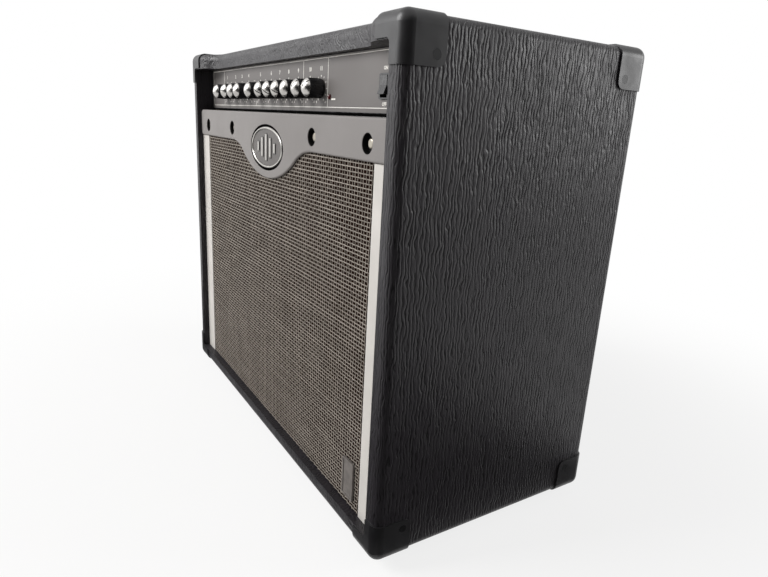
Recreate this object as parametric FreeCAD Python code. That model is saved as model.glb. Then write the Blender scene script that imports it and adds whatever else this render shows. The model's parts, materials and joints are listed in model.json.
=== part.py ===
import FreeCAD, Part
import math
import os

# Guitar combo amplifier: a covered board cabinet with one 12-inch loudspeaker, a steel chassis with a
# front control panel, a spring reverb tank, a strap handle and rubber feet.
# Millimetres. +X is to the player's right as they face the front, +Y is to the back, +Z is up.
# The origin is under the middle of the cabinet, on the surface that the feet stand on.

V = FreeCAD.Vector

# Cabinet boards
CABINET_W = 575.0
CABINET_D = 280.0
CABINET_H = 476.0
SIDE_T = 18.0
TOP_T = 20.0
BOTTOM_T = 18.0
EDGE_R = 9.0
FOOT_H = 12.0
SCOOP_DEPTH = 16.0
SCOOP_MARGIN = 37.5
SCOOP_BLEND = 45.0
BAFFLE_T = 15.0
CLEAT_T = 20.0
BACK_T = 12.0
BACK_RECESS = 15.0
UPPER_BACK_H = 80.0
LOWER_BACK_H = 120.0
BOARD_GAP = 0.5

# Front dress: cloth, side strips, badge panel and oval emblem
GRILLE_RECESS = 9.0
CLOTH_T = 1.2
STRIP_W = 29.0
STRIP_T = 2.2
STRIP_GAP = 2.0
BADGE_PROUD = 3.0
BADGE_BAND_H = 36.5
BADGE_FLANGE_T = 3.0
BADGE_EDGE_R = 2.0
BADGE_CORNER_R = 6.0
BADGE_SLIT = 0.5
BULGE_HALF_W = 121.0
BULGE_DROP = 38.0
BULGE_SHOULDER_SHARE = 0.34
CUP_R = 9.0
CUP_WALL = 1.5
CUP_DEPTH = 6.0
CUP_INNER_X = 123.0
CUP_OUTER_X = 232.0
CUP_DROP = 21.5
CUP_FIT = 0.3
EMBLEM_W = 96.0
EMBLEM_H = 46.4
EMBLEM_DROP = 39.2
EMBLEM_RING_W = 2.4
EMBLEM_RING_T = 2.1
EMBLEM_DISC_T = 1.0
EMBLEM_GROOVE = 3.0
EMBLEM_SEAT_DEPTH = 1.8
EMBLEM_FIT = 0.3
PLATE_W = 21.5
PLATE_H = 42.0
PLATE_T = 2.4
PLATE_RIM = 2.0
PLATE_FACE_DROP = 0.8
PLATE_SIDE_GAP = 8.0
PLATE_RISE = 10.0

# Corner protectors
GUARD_T = 1.6
GUARD_REACH = 40.0
GUARD_TIP_R = 8.0
GUARD_LIP = 1.0
GUARD_INNER_R = 5.0
GUARD_SCREW_INSET = 31.0

# Wood screws, machine bolts and the holes they pass through
SCREW_R = 2.0
SCREW_LENGTH = 16.0
SCREW_HEAD_R = 3.9
SCREW_HEAD_H = 2.2
HOLE_FIT = 0.15
OVERCUT = 1.0
BOLT_R = 2.5
BOLT_HEAD_R = 4.5
BOLT_HEAD_H = 3.0
BOLT_END = 4.0
NUT_R = 4.6
NUT_H = 4.0

# Strap handle and feet
GRIP_LENGTH = 120.0
GRIP_W = 28.0
GRIP_T = 10.0
GRIP_EDGE_R = 4.0
GRIP_CLEARANCE = 15.0
STRAP_W = 26.0
STRAP_T = 5.0
STRAP_REST_H = 5.0
STRAP_BEND = 36.0
STRAP_GAP = 0.3
STRAP_TUCK = 18.0
CAP_LENGTH = 32.0
CAP_W = 34.0
CAP_H = 13.0
CAP_SEAT_H = 7.0
CAP_EDGE_R = 3.0
FOOT_R = 19.0
FOOT_TIP_R = 16.0
FOOT_WELL_R = 6.0
FOOT_WELL_DEPTH = 5.0
FOOT_INSET_X = 65.0
FOOT_INSET_Y = 62.0

# Chassis and its panels
PANEL_RECESS = 25.0
PANEL_H = 55.5
PANEL_T = 2.0
PANEL_GAP = 0.5
SHEET_T = 1.5
CHASSIS_SIDE_GAP = 3.0
CHASSIS_TOP_GAP = 1.0
CHASSIS_BACK_RECESS = 20.0
CHASSIS_BOLT_INSET = 35.0

# Front controls. The places along the panel are given for a panel of CONTROLS_SPAN and spread with it.
CONTROLS_SPAN = 539.0
CONTROL_RISE = 25.0
KNOB_PITCH = 26.2
KNOB_GROUP_X = (-197.5, -162.4, -67.5, -31.6, 77.0)
KNOB_GROUP_COUNTS = (1, 3, 1, 4, 2)
KNOB_REST_ANGLES = (-40.0, 90.0, -60.0, -75.0, -50.0, 120.0, 125.0, 120.0, -30.0, 35.0, 45.0)
KNOB_BASE_R = 9.8
KNOB_TOP_R = 9.3
KNOB_LENGTH = 15.5
KNOB_DOME = 5.0
KNOB_GAP = 0.8
POINTER_W = 1.3
POINTER_DEPTH = 0.5
SHAFT_R = 3.0
SHAFT_FIT = 0.05
SHAFT_END_GAP = 0.5
POT_R = 8.5
POT_DEPTH = 10.0
BUSH_R = 3.6
PANEL_FIT = 0.15
SWITCH_X = (-181.0, -88.5, -50.0)
LEVER_LENGTH = (11.0, 14.0, 11.0)
LEVER_TIP_R = (1.6, 2.1, 1.6)
LEVER_STEM_R = 0.9
LEVER_BALL_R = 1.95
LEVER_FIT = 0.05
LEVER_STEM_SHARE = 0.45
LEVER_TILT = 12.0
LEVER_BUSH_R = 3.1
LEVER_BUSH_PROUD = 4.5
LEVER_PIVOT_DEPTH = 3.5
LEVER_NUT_R = 4.6
LEVER_NUT_T = 1.6
SWITCH_BODY = 8.0
LED_X = 123.5
LED_RISE = 17.0
LED_R = 2.5
LED_PROUD = 2.5
LED_FLANGE_R = 3.1
LED_FLANGE_T = 1.0
LED_TAIL = 6.0
ROCKER_X = 225.2
ROCKER_BEZEL_W = 15.0
ROCKER_BEZEL_H = 21.0
ROCKER_BEZEL_T = 1.5
ROCKER_BODY_W = 13.8
ROCKER_BODY_H = 19.4
ROCKER_BODY_DEPTH = 16.0
ROCKER_WALL = 1.5
ROCKER_SIDE_GAP = 0.2
ROCKER_TIP_Z = 7.9
ROCKER_TIP_OUT = 6.5
ROCKER_WAIST_OUT = 5.0
ROCKER_ROOT_Z = 6.2
ROCKER_ROOT_IN = 5.0
ROCKER_PIVOT_IN = 3.0
ROCKER_TILT = 11.0
PIN_R = 1.2
PIN_FIT = 0.05
PIN_BITE = 1.0
JACK_BORE_R = 3.25
JACK_THREAD_R = 4.6
JACK_NUT_R = 6.4
JACK_NUT_T = 2.2
JACK_PROUD = 3.2
JACK_BODY_W = 14.0
JACK_BODY_DEPTH = 24.0
JACK_END_WALL = 2.0
FRONT_JACK_X = (-248.0, -228.5)
REAR_JACK_X = (-215.0, -187.0, -159.0)

# Rear fittings
REAR_RISE = 27.0
INLET_X = 205.0
INLET_FLANGE_W = 44.0
INLET_FLANGE_H = 25.0
INLET_FLANGE_T = 3.0
INLET_BODY_W = 28.0
INLET_BODY_H = 20.5
INLET_MOUTH_W = 24.4
INLET_MOUTH_H = 16.8
INLET_MOUTH_DEPTH = 18.0
INLET_BACK_T = 3.0
INLET_CORNER_R = 3.0
INLET_PIN_PITCH = 7.0
INLET_PIN_L = 12.0
INLET_PIN_T = 2.0
INLET_PIN_H = 4.0
INLET_EARTH_RISE = 3.0
FUSE_X = 160.0
FUSE_CAP_R = 7.5
FUSE_CAP_L = 9.0
FUSE_BODY_R = 6.2
FUSE_BODY_L = 30.0
FUSE_NUT_R = 9.0
FUSE_NUT_T = 2.0
SINK_X = -20.0
SINK_W = 190.0
SINK_H = 46.0
SINK_BASE_T = 4.0
FIN_COUNT = 20
FIN_T = 2.0
FIN_DEPTH = 12.0

# Inside the chassis
BOARD_T = 1.6
FRONT_BOARD_H = 40.0
FRONT_BOARD_OVERHANG = 10.0
POWER_BOARD_W = 190.0
POWER_BOARD_D = 110.0
POWER_BOARD_X = -30.0
POWER_BOARD_Y = 30.0
STANDOFF_H = 6.0
STANDOFF_R = 3.0
STANDOFF_INSET = 7.0
CAPACITOR_R = 12.5
CAPACITOR_H = 38.0
CAPACITOR_PITCH = 30.0
CORE_W = 66.0
CORE_D = 42.0
CORE_H = 50.0
CORE_LEG = 11.0
CORE_X = 150.0
CORE_Y = 25.0
WINDING_BULGE = 11.0
WINDING_FIT = 0.3

# Loudspeaker, mounted on the back of the baffle
SPEAKER_RISE = 185.0
SURROUND_R = 137.0
HOLE_MARGIN = 2.0
RIM_MARGIN = 18.0
RIM_LAP = 7.0
RIM_T = 3.0
RIM_BOLT_INSET = 7.5
RIM_BOLTS = 8
BASKET_DEPTH = 78.0
BASKET_T = 2.5
HUB_R = 72.0
HUB_HOLE_R = 30.0
BASKET_WINDOWS = 6
WINDOW_ARM = 34.0
SPIDER_LEDGE_DEPTH = 52.0
SPIDER_R = 84.0
SPIDER_T = 1.0
SPIDER_WAVE_COUNT = 6
SPIDER_FLAT = 6.0
CONE_MARGIN = 17.0
CONE_T = 1.4
CONE_DEPTH = 46.0
CONE_CURVE_POWER = 1.15
CONE_STEP_COUNT = 8
CONE_NECK_R = 24.0
DUST_CAP_R = 34.0
DUST_CAP_RISE = 12.0
COIL_R = 20.0
COIL_T = 0.8
COIL_END = 88.0
COIL_GAP = 0.5
SURROUND_FLANGE = 5.0
SURROUND_T = 0.9
SOFT_GAP = 0.3
TOP_PLATE_R = 58.0
TOP_PLATE_T = 8.0
MAGNET_R = 68.0
MAGNET_BORE_R = 34.0
MAGNET_T = 22.0
BACK_PLATE_T = 8.0
TERMINAL_W = 22.0
TERMINAL_H = 12.0
TERMINAL_T = 5.0

# Spring reverb tank and leads
TANK_W = 425.0
TANK_D = 110.0
TANK_H = 33.0
TANK_T = 1.2
TANK_FLANGE = 8.0
TANK_Y = 30.0
SPRING_R = 3.5
SPRING_OFFSET = 28.0
SPRING_CARRIER = 25.0
SOCKET_R = 4.2
SOCKET_H = 6.0
PLUG_R = 5.0
PLUG_L = 20.0
PLUG_GRIP_GAP = 0.3
SPEAKER_LEAD_R = 2.75
REVERB_LEAD_R = 2.0
LEAD_FIT = 0.4
LEAD_END_RISE = 6.0
LEAD_TANGENT_SHARE = 0.45
SPEAKER_LEAD_HOLE = (52.0, 22.0)
SPEAKER_LEAD_FOOT = ((0.0, 0.0, 0.0), (0.0, 0.0, 26.0), (16.0, 16.0, 55.0))
SPEAKER_LEAD_HEAD = ((-14.0, -18.0, -52.0), (0.0, 0.0, -22.0), (0.0, 0.0, LEAD_END_RISE))
REVERB_LEAD_HOLES = ((-192.0, 66.0), (-158.0, 60.0))
REVERB_SOCKET_X = (-172.0, -132.0)
REVERB_SOCKET_BACK = 22.0
REVERB_LEAD_FOOT = ((0.0, 0.0, 0.0), (0.0, 1.0, 34.0), (-9.0, 7.0, 82.0), (-26.0, 16.0, 136.0),
                    (-36.0, 24.0, 192.0))
REVERB_LEAD_HEAD = ((-12.0, 14.0, -76.0), (0.0, 0.0, -34.0), (0.0, 0.0, LEAD_END_RISE))

# Places that follow from the sizes above
half_w = CABINET_W / 2
half_d = CABINET_D / 2
front_y = -half_d
back_y = half_d
base_z = FOOT_H
top_z = base_z + CABINET_H
inner_x = half_w - SIDE_T
floor_z = base_z + BOTTOM_T
ceiling_z = top_z - TOP_T
cloth_front_y = front_y + GRILLE_RECESS
baffle_front_y = cloth_front_y + CLOTH_T
baffle_back_y = baffle_front_y + BAFFLE_T
back_panel_y = back_y - BACK_RECESS - BACK_T
panel_front_y = front_y + PANEL_RECESS
panel_back_y = panel_front_y + PANEL_T
panel_top_z = ceiling_z - PANEL_GAP
panel_bottom_z = panel_top_z - PANEL_H
control_z = panel_bottom_z + CONTROL_RISE
badge_front_y = cloth_front_y - BADGE_PROUD
badge_half_w = inner_x - BOARD_GAP
badge_top_z = panel_bottom_z - BADGE_SLIT
badge_low_z = badge_top_z - BADGE_BAND_H
baffle_top_z = badge_top_z - BADGE_FLANGE_T
emblem_z = badge_top_z - EMBLEM_DROP
cup_z = badge_top_z - CUP_DROP
rail_top_z = panel_bottom_z
rail_low_z = rail_top_z - CLEAT_T
chassis_half_w = inner_x - CHASSIS_SIDE_GAP
chassis_back_y = back_y - CHASSIS_BACK_RECESS
chassis_floor_z = rail_top_z + SHEET_T
chassis_top_z = ceiling_z - CHASSIS_TOP_GAP
sheet_back_y = panel_back_y + SHEET_T
rear_z = rail_top_z + REAR_RISE
front_board_y = sheet_back_y + POT_DEPTH
power_board_z = chassis_floor_z + STANDOFF_H
speaker_z = floor_z + SPEAKER_RISE
rim_back_y = baffle_back_y + RIM_T
hub_y = baffle_back_y + BASKET_DEPTH
grip_z = top_z + GRIP_CLEARANCE
strap_z = top_z + STRAP_REST_H
strap_end_x = GRIP_LENGTH / 2 + STRAP_GAP
cap_x = strap_end_x + STRAP_BEND
tank_top_z = floor_z + TANK_H
spread = 2 * inner_x / CONTROLS_SPAN
knob_groups = zip(KNOB_GROUP_X, KNOB_GROUP_COUNTS)
knob_x = [spread * (start + KNOB_PITCH * step) for start, count in knob_groups for step in range(count)]
switch_x = [spread * x for x in SWITCH_X]
led_x = spread * LED_X
rocker_x = spread * ROCKER_X
front_jack_x = [spread * x for x in FRONT_JACK_X]
rear_jack_x = [spread * x for x in REAR_JACK_X]
inlet_x = spread * INLET_X
fuse_x = spread * FUSE_X
sink_x = spread * SINK_X
sink_w = spread * SINK_W
power_board_x = spread * POWER_BOARD_X
core_x = spread * CORE_X
cone_r = SURROUND_R - CONE_MARGIN
baffle_hole_r = SURROUND_R + HOLE_MARGIN
rim_inner_r = SURROUND_R - RIM_LAP
rim_r = SURROUND_R + RIM_MARGIN
rim_bolt_r = rim_r - RIM_BOLT_INSET
speaker_lead_hole = (spread * SPEAKER_LEAD_HOLE[0], SPEAKER_LEAD_HOLE[1])
reverb_lead_holes = [(spread * x, y) for x, y in REVERB_LEAD_HOLES]
reverb_socket_xy = [(spread * x, TANK_Y + REVERB_SOCKET_BACK) for x in REVERB_SOCKET_X]


def box(x0, x1, y0, y1, z0, z1):
    """A block between two values on each axis."""
    return Part.makeBox(x1 - x0, y1 - y0, z1 - z0, V(x0, y0, z0))


def rod(radius, start, direction, length):
    """A cylinder from a point, along a direction."""
    return Part.makeCylinder(radius, length, V(*start), V(*direction))


def fused(shapes):
    """One solid from pieces that are made as one."""
    return shapes[0].fuse(shapes[1:]).removeSplitter()


def edges_along(shape, axis, test):
    """The straight edges that run along an axis ("X", "Y" or "Z") and whose middle passes a test."""
    others = [name for name in "XYZ" if name != axis]
    found = []
    for edge in shape.Edges:
        bounds = edge.BoundBox
        spans = [getattr(bounds, name + "Length") for name in others]
        if max(spans) < 1e-6 and test(bounds.Center):
            found.append(edge)
    return found


def s_bend(start, end, first_share, place):
    """Two tangent arcs from start to end, level at both ends. first_share is the first arc's part of
    the two radii together. place turns a flat (u, v) point into a point in space."""
    run = end[0] - start[0]
    rise = end[1] - start[1]
    turn = 2 * math.atan2(abs(rise), abs(run))
    total = abs(run) / math.sin(turn)
    u_sign = math.copysign(1.0, run)
    v_sign = math.copysign(1.0, rise)

    def on_arc(anchor, radius, angle, way):
        across = way * u_sign * radius * math.sin(angle)
        along = way * v_sign * radius * (1 - math.cos(angle))
        return place(anchor[0] + across, anchor[1] + along)

    first = total * first_share
    second = total - first
    meeting = on_arc(start, first, turn, 1)
    arc_in = Part.Arc(place(*start), on_arc(start, first, turn / 2, 1), meeting)
    arc_out = Part.Arc(meeting, on_arc(end, second, turn / 2, -1), place(*end))
    return [arc_in.toShape(), arc_out.toShape()]


def line(start, end):
    """A straight edge."""
    return Part.makeLine(start, end)


def slab(edges, direction):
    """A closed outline pushed along a direction."""
    outline = Part.Wire(Part.__sortEdges__(edges))
    return Part.Face(outline).extrude(direction)


def turned(profile, centre_z):
    """A solid turned about the front-to-back axis at a height, from (radius, y) points."""
    points = [V(radius, y, centre_z) for radius, y in profile]
    face = Part.Face(Part.makePolygon(points + points[:1]))
    return face.revolve(V(0, 0, centre_z), V(0, 1, 0), 360)


def hexagon(radius, centre, thickness):
    """A six-sided nut blank whose axis runs front to back, radius measured to its corners."""
    x, y, z = centre
    corners = []
    for step in range(6):
        angle = math.radians(60 * step)
        corners.append(V(x + radius * math.cos(angle), y, z + radius * math.sin(angle)))
    return Part.Face(Part.makePolygon(corners + corners[:1])).extrude(V(0, thickness, 0))


def oval(width, height, y, depth, centre_z):
    """An upright oval block whose front is at y, pushed back by a depth."""
    flat = Part.Face(Part.Wire(Part.Ellipse(V(0, 0, 0), width / 2, height / 2).toShape()))
    flat.rotate(V(0, 0, 0), V(1, 0, 0), 90)
    flat.translate(V(0, y, centre_z))
    return flat.extrude(V(0, depth, 0))


def screw_solid(seat, direction, grow):
    """A countersunk wood screw with its head flush at seat, or with grow the hole that it needs."""
    head = Part.makeCone(SCREW_HEAD_R + grow, SCREW_R + grow, SCREW_HEAD_H, V(*seat), V(*direction))
    shank = rod(SCREW_R + grow, seat, direction, SCREW_LENGTH + grow)
    return head.fuse(shank)


def guard_screws():
    """Seats and directions of the two screws in each of the eight corner protectors."""
    seats = []
    for side in (-1, 1):
        for depth in (-1, 1):
            for level in (-1, 1):
                outer_x = side * (half_w + GUARD_T)
                inset_x = outer_x - side * GUARD_SCREW_INSET
                inset_y = depth * (half_d + GUARD_T - GUARD_SCREW_INSET)
                outer_z = top_z + GUARD_T if level > 0 else base_z - GUARD_T
                inset_z = outer_z - level * GUARD_SCREW_INSET
                seats.append(((outer_x, inset_y, inset_z), (-side, 0, 0)))
                seats.append(((inset_x, inset_y, outer_z), (0, 0, -level)))
    return seats


def back_panel_screws():
    """Seats and directions of the screws that hold the two back panels to the side cleats."""
    upper_low_z = rail_top_z - BOARD_GAP - UPPER_BACK_H
    heights = [upper_low_z + UPPER_BACK_H / 6, upper_low_z + UPPER_BACK_H / 2]
    heights += [floor_z + LOWER_BACK_H / 5, floor_z + LOWER_BACK_H * 4 / 5]
    outer_y = back_panel_y + BACK_T
    x = inner_x - CLEAT_T / 2
    return [((side * x, outer_y, z), (0, -1, 0)) for side in (-1, 1) for z in heights]


def handle_screws():
    """Seats and directions of the screws down through the handle's end caps."""
    x = cap_x + STRAP_TUCK + (CAP_LENGTH - STRAP_TUCK) / 2
    return [((side * x, 0, top_z + CAP_SEAT_H), (0, 0, -1)) for side in (-1, 1)]


def foot_places():
    """The middles of the four feet."""
    x = half_w - FOOT_INSET_X
    y = half_d - FOOT_INSET_Y
    return [(side * x, depth * y) for side in (-1, 1) for depth in (-1, 1)]


def foot_screws():
    """Seats and directions of the screws up through the feet."""
    return [((x, y, FOOT_WELL_DEPTH), (0, 0, 1)) for x, y in foot_places()]


def all_wood_screws():
    """Every wood screw in the cabinet, in one list."""
    return guard_screws() + back_panel_screws() + handle_screws() + foot_screws()


def drilled(shape, screws):
    """A shape with the holes for the screws that reach it."""
    holes = [screw_solid(seat, direction, HOLE_FIT) for seat, direction in screws]
    return shape.cut(holes)


def cabinet_screws():
    """All wood screws, as one group."""
    return Part.makeCompound([screw_solid(seat, way, 0.0) for seat, way in all_wood_screws()])


def rounded_block(grow):
    """The cabinet's outside, grown evenly, with every outer edge rounded."""
    block = box(-half_w - grow, half_w + grow, front_y - grow, back_y + grow, base_z - grow, top_z + grow)
    return block.makeFillet(EDGE_R + grow, block.Edges)


def side_panel(side):
    """One side board, over the full height, with rounded outer edges."""
    near = min(side * inner_x, side * half_w)
    far = max(side * inner_x, side * half_w)
    board = rounded_block(0.0).common(box(near, far, front_y, back_y, base_z, top_z))
    return drilled(board, guard_screws())


def top_panel():
    """The top board, whose front edge is set back between the corners in two smooth bends."""
    outer_x = half_w - SCOOP_MARGIN
    flat_x = outer_x - SCOOP_BLEND
    deep_y = front_y + SCOOP_DEPTH

    def place(x, y):
        return V(x, y, ceiling_z)

    edges = [line(place(-inner_x, back_y), place(-inner_x, front_y))]
    edges.append(line(place(-inner_x, front_y), place(-outer_x, front_y)))
    edges += s_bend((-outer_x, front_y), (-flat_x, deep_y), 0.5, place)
    edges.append(line(place(-flat_x, deep_y), place(flat_x, deep_y)))
    edges += s_bend((flat_x, deep_y), (outer_x, front_y), 0.5, place)
    edges.append(line(place(outer_x, front_y), place(inner_x, front_y)))
    edges.append(line(place(inner_x, front_y), place(inner_x, back_y)))
    edges.append(line(place(inner_x, back_y), place(-inner_x, back_y)))
    board = slab(edges, V(0, 0, TOP_T))

    def front_or_back(edge, z):
        bounds = edge.BoundBox
        level = abs(bounds.ZMin - z) < 1e-6 and bounds.ZLength < 1e-6
        return level and (bounds.YMax < 0 or bounds.YMin > back_y - 1e-6)

    board = board.makeFillet(EDGE_R, [edge for edge in board.Edges if front_or_back(edge, top_z)])
    return drilled(board, guard_screws() + handle_screws())


def bottom_panel():
    """The bottom board, between the sides, with its front and back lower edges rounded."""
    board = box(-inner_x, inner_x, front_y, back_y, base_z, floor_z)
    low = edges_along(board, "X", lambda middle: abs(middle.z - base_z) < 1e-6)
    board = board.makeFillet(EDGE_R, low)
    return drilled(board, guard_screws() + foot_screws())


def badge_screw_places():
    """The four places, left to right, where the badge panel is screwed to the baffle."""
    return (-CUP_OUTER_X, -CUP_INNER_X, CUP_INNER_X, CUP_OUTER_X)


def cup_clearance(y0, y1):
    """Holes that let the badge panel's screw cups through, between two depths."""
    radius = CUP_R + CUP_WALL + CUP_FIT
    return [rod(radius, (x, y0, cup_z), (0, 1, 0), y1 - y0) for x in badge_screw_places()]


def badge_screw(x, grow):
    """A badge screw seated in its cup, or with grow the hole that it needs."""
    seat_y = badge_front_y + CUP_DEPTH
    head = rod(BOLT_HEAD_R, (x, seat_y - BOLT_HEAD_H, cup_z), (0, 1, 0), BOLT_HEAD_H)
    head = head.makeFillet(BOLT_HEAD_H / 2, edges_of_disc(head, seat_y - BOLT_HEAD_H))
    shank = rod(SCREW_R + grow, (x, seat_y, cup_z), (0, 1, 0), BAFFLE_T / 2 + grow)
    return shank if grow else head.fuse(shank)


def edges_of_disc(shape, y):
    """The round edge of a disc that lies at a depth."""
    boxes = [(edge, edge.BoundBox) for edge in shape.Edges]
    return [edge for edge, bound in boxes if bound.YMax < y + 1e-3 and bound.XLength > 1e-3]


def speaker_bolt_places():
    """The bolt places on the loudspeaker's rim, as (x, z)."""
    places = []
    for step in range(RIM_BOLTS):
        angle = 2 * math.pi * (step + 0.5) / RIM_BOLTS
        places.append((rim_bolt_r * math.cos(angle), speaker_z + rim_bolt_r * math.sin(angle)))
    return places


def chassis_bolt_places():
    """The four places where the chassis is bolted to its rails, as (x, y)."""
    x = inner_x - CLEAT_T / 2
    near = sheet_back_y + CHASSIS_BOLT_INSET
    far = chassis_back_y - CHASSIS_BOLT_INSET
    return [(side * x, y) for side in (-1, 1) for y in (near, far)]


def speaker_bolt(x, z, grow):
    """A bolt from the rim into the baffle, or with grow the hole that it needs."""
    reach = RIM_T + BAFFLE_T - BOLT_END
    shank = rod(BOLT_R + grow, (x, rim_back_y, z), (0, -1, 0), reach + grow)
    head = rod(BOLT_HEAD_R, (x, rim_back_y, z), (0, 1, 0), BOLT_HEAD_H)
    return shank if grow else head.fuse(shank)


def chassis_bolt(x, y, grow):
    """A bolt up through a rail and the chassis floor, with its nut, or with grow its hole."""
    reach = CLEAT_T + SHEET_T + NUT_H
    shank = rod(BOLT_R + grow, (x, y, rail_low_z - grow), (0, 0, 1), reach + 2 * grow)
    if grow:
        return shank
    head = rod(BOLT_HEAD_R, (x, y, rail_low_z), (0, 0, -1), BOLT_HEAD_H)
    nut = rod(NUT_R, (x, y, chassis_floor_z), (0, 0, 1), NUT_H)
    return fused([head, shank, nut])


def machine_bolts():
    """The loudspeaker's and the chassis's bolts, as one group."""
    bolts = [speaker_bolt(x, z, 0.0) for x, z in speaker_bolt_places()]
    bolts += [chassis_bolt(x, y, 0.0) for x, y in chassis_bolt_places()]
    return Part.makeCompound(bolts)


def baffle_board():
    """The board behind the cloth that carries the loudspeaker and the badge panel."""
    half = inner_x - BOARD_GAP
    board = box(-half, half, baffle_front_y, baffle_back_y, floor_z, baffle_top_z)
    tools = [rod(baffle_hole_r, (0, baffle_front_y - OVERCUT, speaker_z), (0, 1, 0), BAFFLE_T + 2 * OVERCUT)]
    tools += cup_clearance(baffle_front_y - OVERCUT, badge_front_y + CUP_DEPTH + CUP_WALL + CUP_FIT)
    tools += [badge_screw(x, HOLE_FIT) for x in badge_screw_places()]
    tools += [speaker_bolt(x, z, HOLE_FIT) for x, z in speaker_bolt_places()]
    return board.cut(tools)


def cleats():
    """Wooden battens inside the sides: a front and a rear upright and a rail under the chassis."""
    battens = []
    holes = [chassis_bolt(x, y, HOLE_FIT) for x, y in chassis_bolt_places()]
    for side in (-1, 1):
        near = min(side * inner_x, side * (inner_x - CLEAT_T))
        far = near + CLEAT_T
        battens.append(box(near, far, baffle_back_y, baffle_back_y + CLEAT_T, floor_z, rail_low_z))
        rear = box(near, far, back_panel_y - CLEAT_T, back_panel_y, floor_z, rail_low_z)
        battens.append(drilled(rear, back_panel_screws()))
        rail = box(near, far, baffle_back_y, back_panel_y, rail_low_z, rail_top_z)
        battens.append(rail.cut(holes))
    return Part.makeCompound(battens)


def back_panel(low_z, height):
    """A panel across the back, screwed to the rear uprights."""
    half = inner_x - BOARD_GAP
    board = box(-half, half, back_panel_y, back_panel_y + BACK_T, low_z, low_z + height)
    return drilled(board, back_panel_screws())


def upper_back_panel():
    """The back panel just below the chassis."""
    return back_panel(rail_top_z - BOARD_GAP - UPPER_BACK_H, UPPER_BACK_H)


def lower_back_panel():
    """The back panel that stands on the bottom board."""
    return back_panel(floor_z, LOWER_BACK_H)


def grille_cloth():
    """The woven cloth stretched over the baffle, between the side strips."""
    half = inner_x - STRIP_W - STRIP_GAP
    sheet = box(-half, half, cloth_front_y, baffle_front_y, floor_z, baffle_top_z)
    return sheet.cut(cup_clearance(cloth_front_y - OVERCUT, baffle_front_y + OVERCUT))


def grille_trim_strips():
    """The two pale upright strips beside the cloth."""
    strips = []
    for side in (-1, 1):
        near = min(side * (inner_x - STRIP_W), side * (inner_x - BOARD_GAP))
        strip = box(near, near + STRIP_W - BOARD_GAP, baffle_front_y - STRIP_T, baffle_front_y,
                    floor_z, badge_low_z - BADGE_SLIT)
        front = edges_along(strip, "Z", lambda middle: middle.y < baffle_front_y - STRIP_T / 2)
        strips.append(strip.makeFillet(STRIP_T / 3, front))
    return Part.makeCompound(strips)


def badge_outline():
    """The badge panel's front outline: a straight band with a soft bulge in the middle of its foot."""
    low_z = badge_low_z - BULGE_DROP

    def place(x, z):
        return V(x, badge_front_y, z)

    shoulder = (BULGE_HALF_W, badge_low_z)
    foot = (0.0, low_z)
    edges = [line(place(-badge_half_w, badge_top_z), place(badge_half_w, badge_top_z))]
    edges.append(line(place(badge_half_w, badge_top_z), place(badge_half_w, badge_low_z)))
    edges.append(line(place(badge_half_w, badge_low_z), place(*shoulder)))
    edges += s_bend(shoulder, foot, BULGE_SHOULDER_SHARE, place)
    edges += s_bend(foot, (-BULGE_HALF_W, badge_low_z), 1 - BULGE_SHOULDER_SHARE, place)
    edges.append(line(place(-BULGE_HALF_W, badge_low_z), place(-badge_half_w, badge_low_z)))
    edges.append(line(place(-badge_half_w, badge_low_z), place(-badge_half_w, badge_top_z)))
    return edges


def badge_panel():
    """The moulded panel under the controls, with screw cups and a seat for the oval emblem."""
    plate = slab(badge_outline(), V(0, BADGE_PROUD, 0))

    def at_end(middle):
        return abs(middle.x) > CUP_OUTER_X

    corners = edges_along(plate, "Y", at_end)
    plate = plate.makeFillet(BADGE_CORNER_R, corners)
    rim = [edge for edge in plate.Edges if edge.BoundBox.YMax < badge_front_y + 1e-3]
    plate = plate.makeFillet(BADGE_EDGE_R, rim)
    flange = box(-badge_half_w, badge_half_w, badge_front_y + BADGE_PROUD, panel_front_y - BOARD_GAP,
                 badge_top_z - BADGE_FLANGE_T, badge_top_z)
    pieces = [plate, flange]
    voids = []
    for x in badge_screw_places():
        start = badge_front_y + BADGE_PROUD / 2
        length = CUP_DEPTH + CUP_WALL - BADGE_PROUD / 2
        pieces.append(rod(CUP_R + CUP_WALL, (x, start, cup_z), (0, 1, 0), length))
        voids.append(rod(CUP_R, (x, badge_front_y - OVERCUT, cup_z), (0, 1, 0), CUP_DEPTH + OVERCUT))
        voids.append(badge_screw(x, HOLE_FIT))
    seat_w = EMBLEM_W + 2 * EMBLEM_GROOVE
    seat_h = EMBLEM_H + 2 * EMBLEM_GROOVE
    voids.append(oval(seat_w, seat_h, badge_front_y - OVERCUT, EMBLEM_SEAT_DEPTH + OVERCUT, emblem_z))
    return fused(pieces).cut(voids)


def badge_ring():
    """The bright oval ring around the emblem, bevelled at its front."""
    back = badge_front_y + EMBLEM_SEAT_DEPTH
    front = back - EMBLEM_RING_T
    outer = oval(EMBLEM_W, EMBLEM_H, front, EMBLEM_RING_T, emblem_z)
    inner_w = EMBLEM_W - 2 * EMBLEM_RING_W
    inner_h = EMBLEM_H - 2 * EMBLEM_RING_W
    ring = outer.cut(oval(inner_w, inner_h, front - OVERCUT, EMBLEM_RING_T + 2 * OVERCUT, emblem_z))
    rim = [edge for edge in ring.Edges if edge.BoundBox.YMax < front + 1e-3]
    return ring.makeChamfer(EMBLEM_RING_W / 4, rim)


def badge_disc():
    """The plain dark oval disc inside the ring."""
    back = badge_front_y + EMBLEM_SEAT_DEPTH
    width = EMBLEM_W - 2 * (EMBLEM_RING_W + EMBLEM_FIT)
    height = EMBLEM_H - 2 * (EMBLEM_RING_W + EMBLEM_FIT)
    return oval(width, height, back - EMBLEM_DISC_T, EMBLEM_DISC_T, emblem_z)


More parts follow.
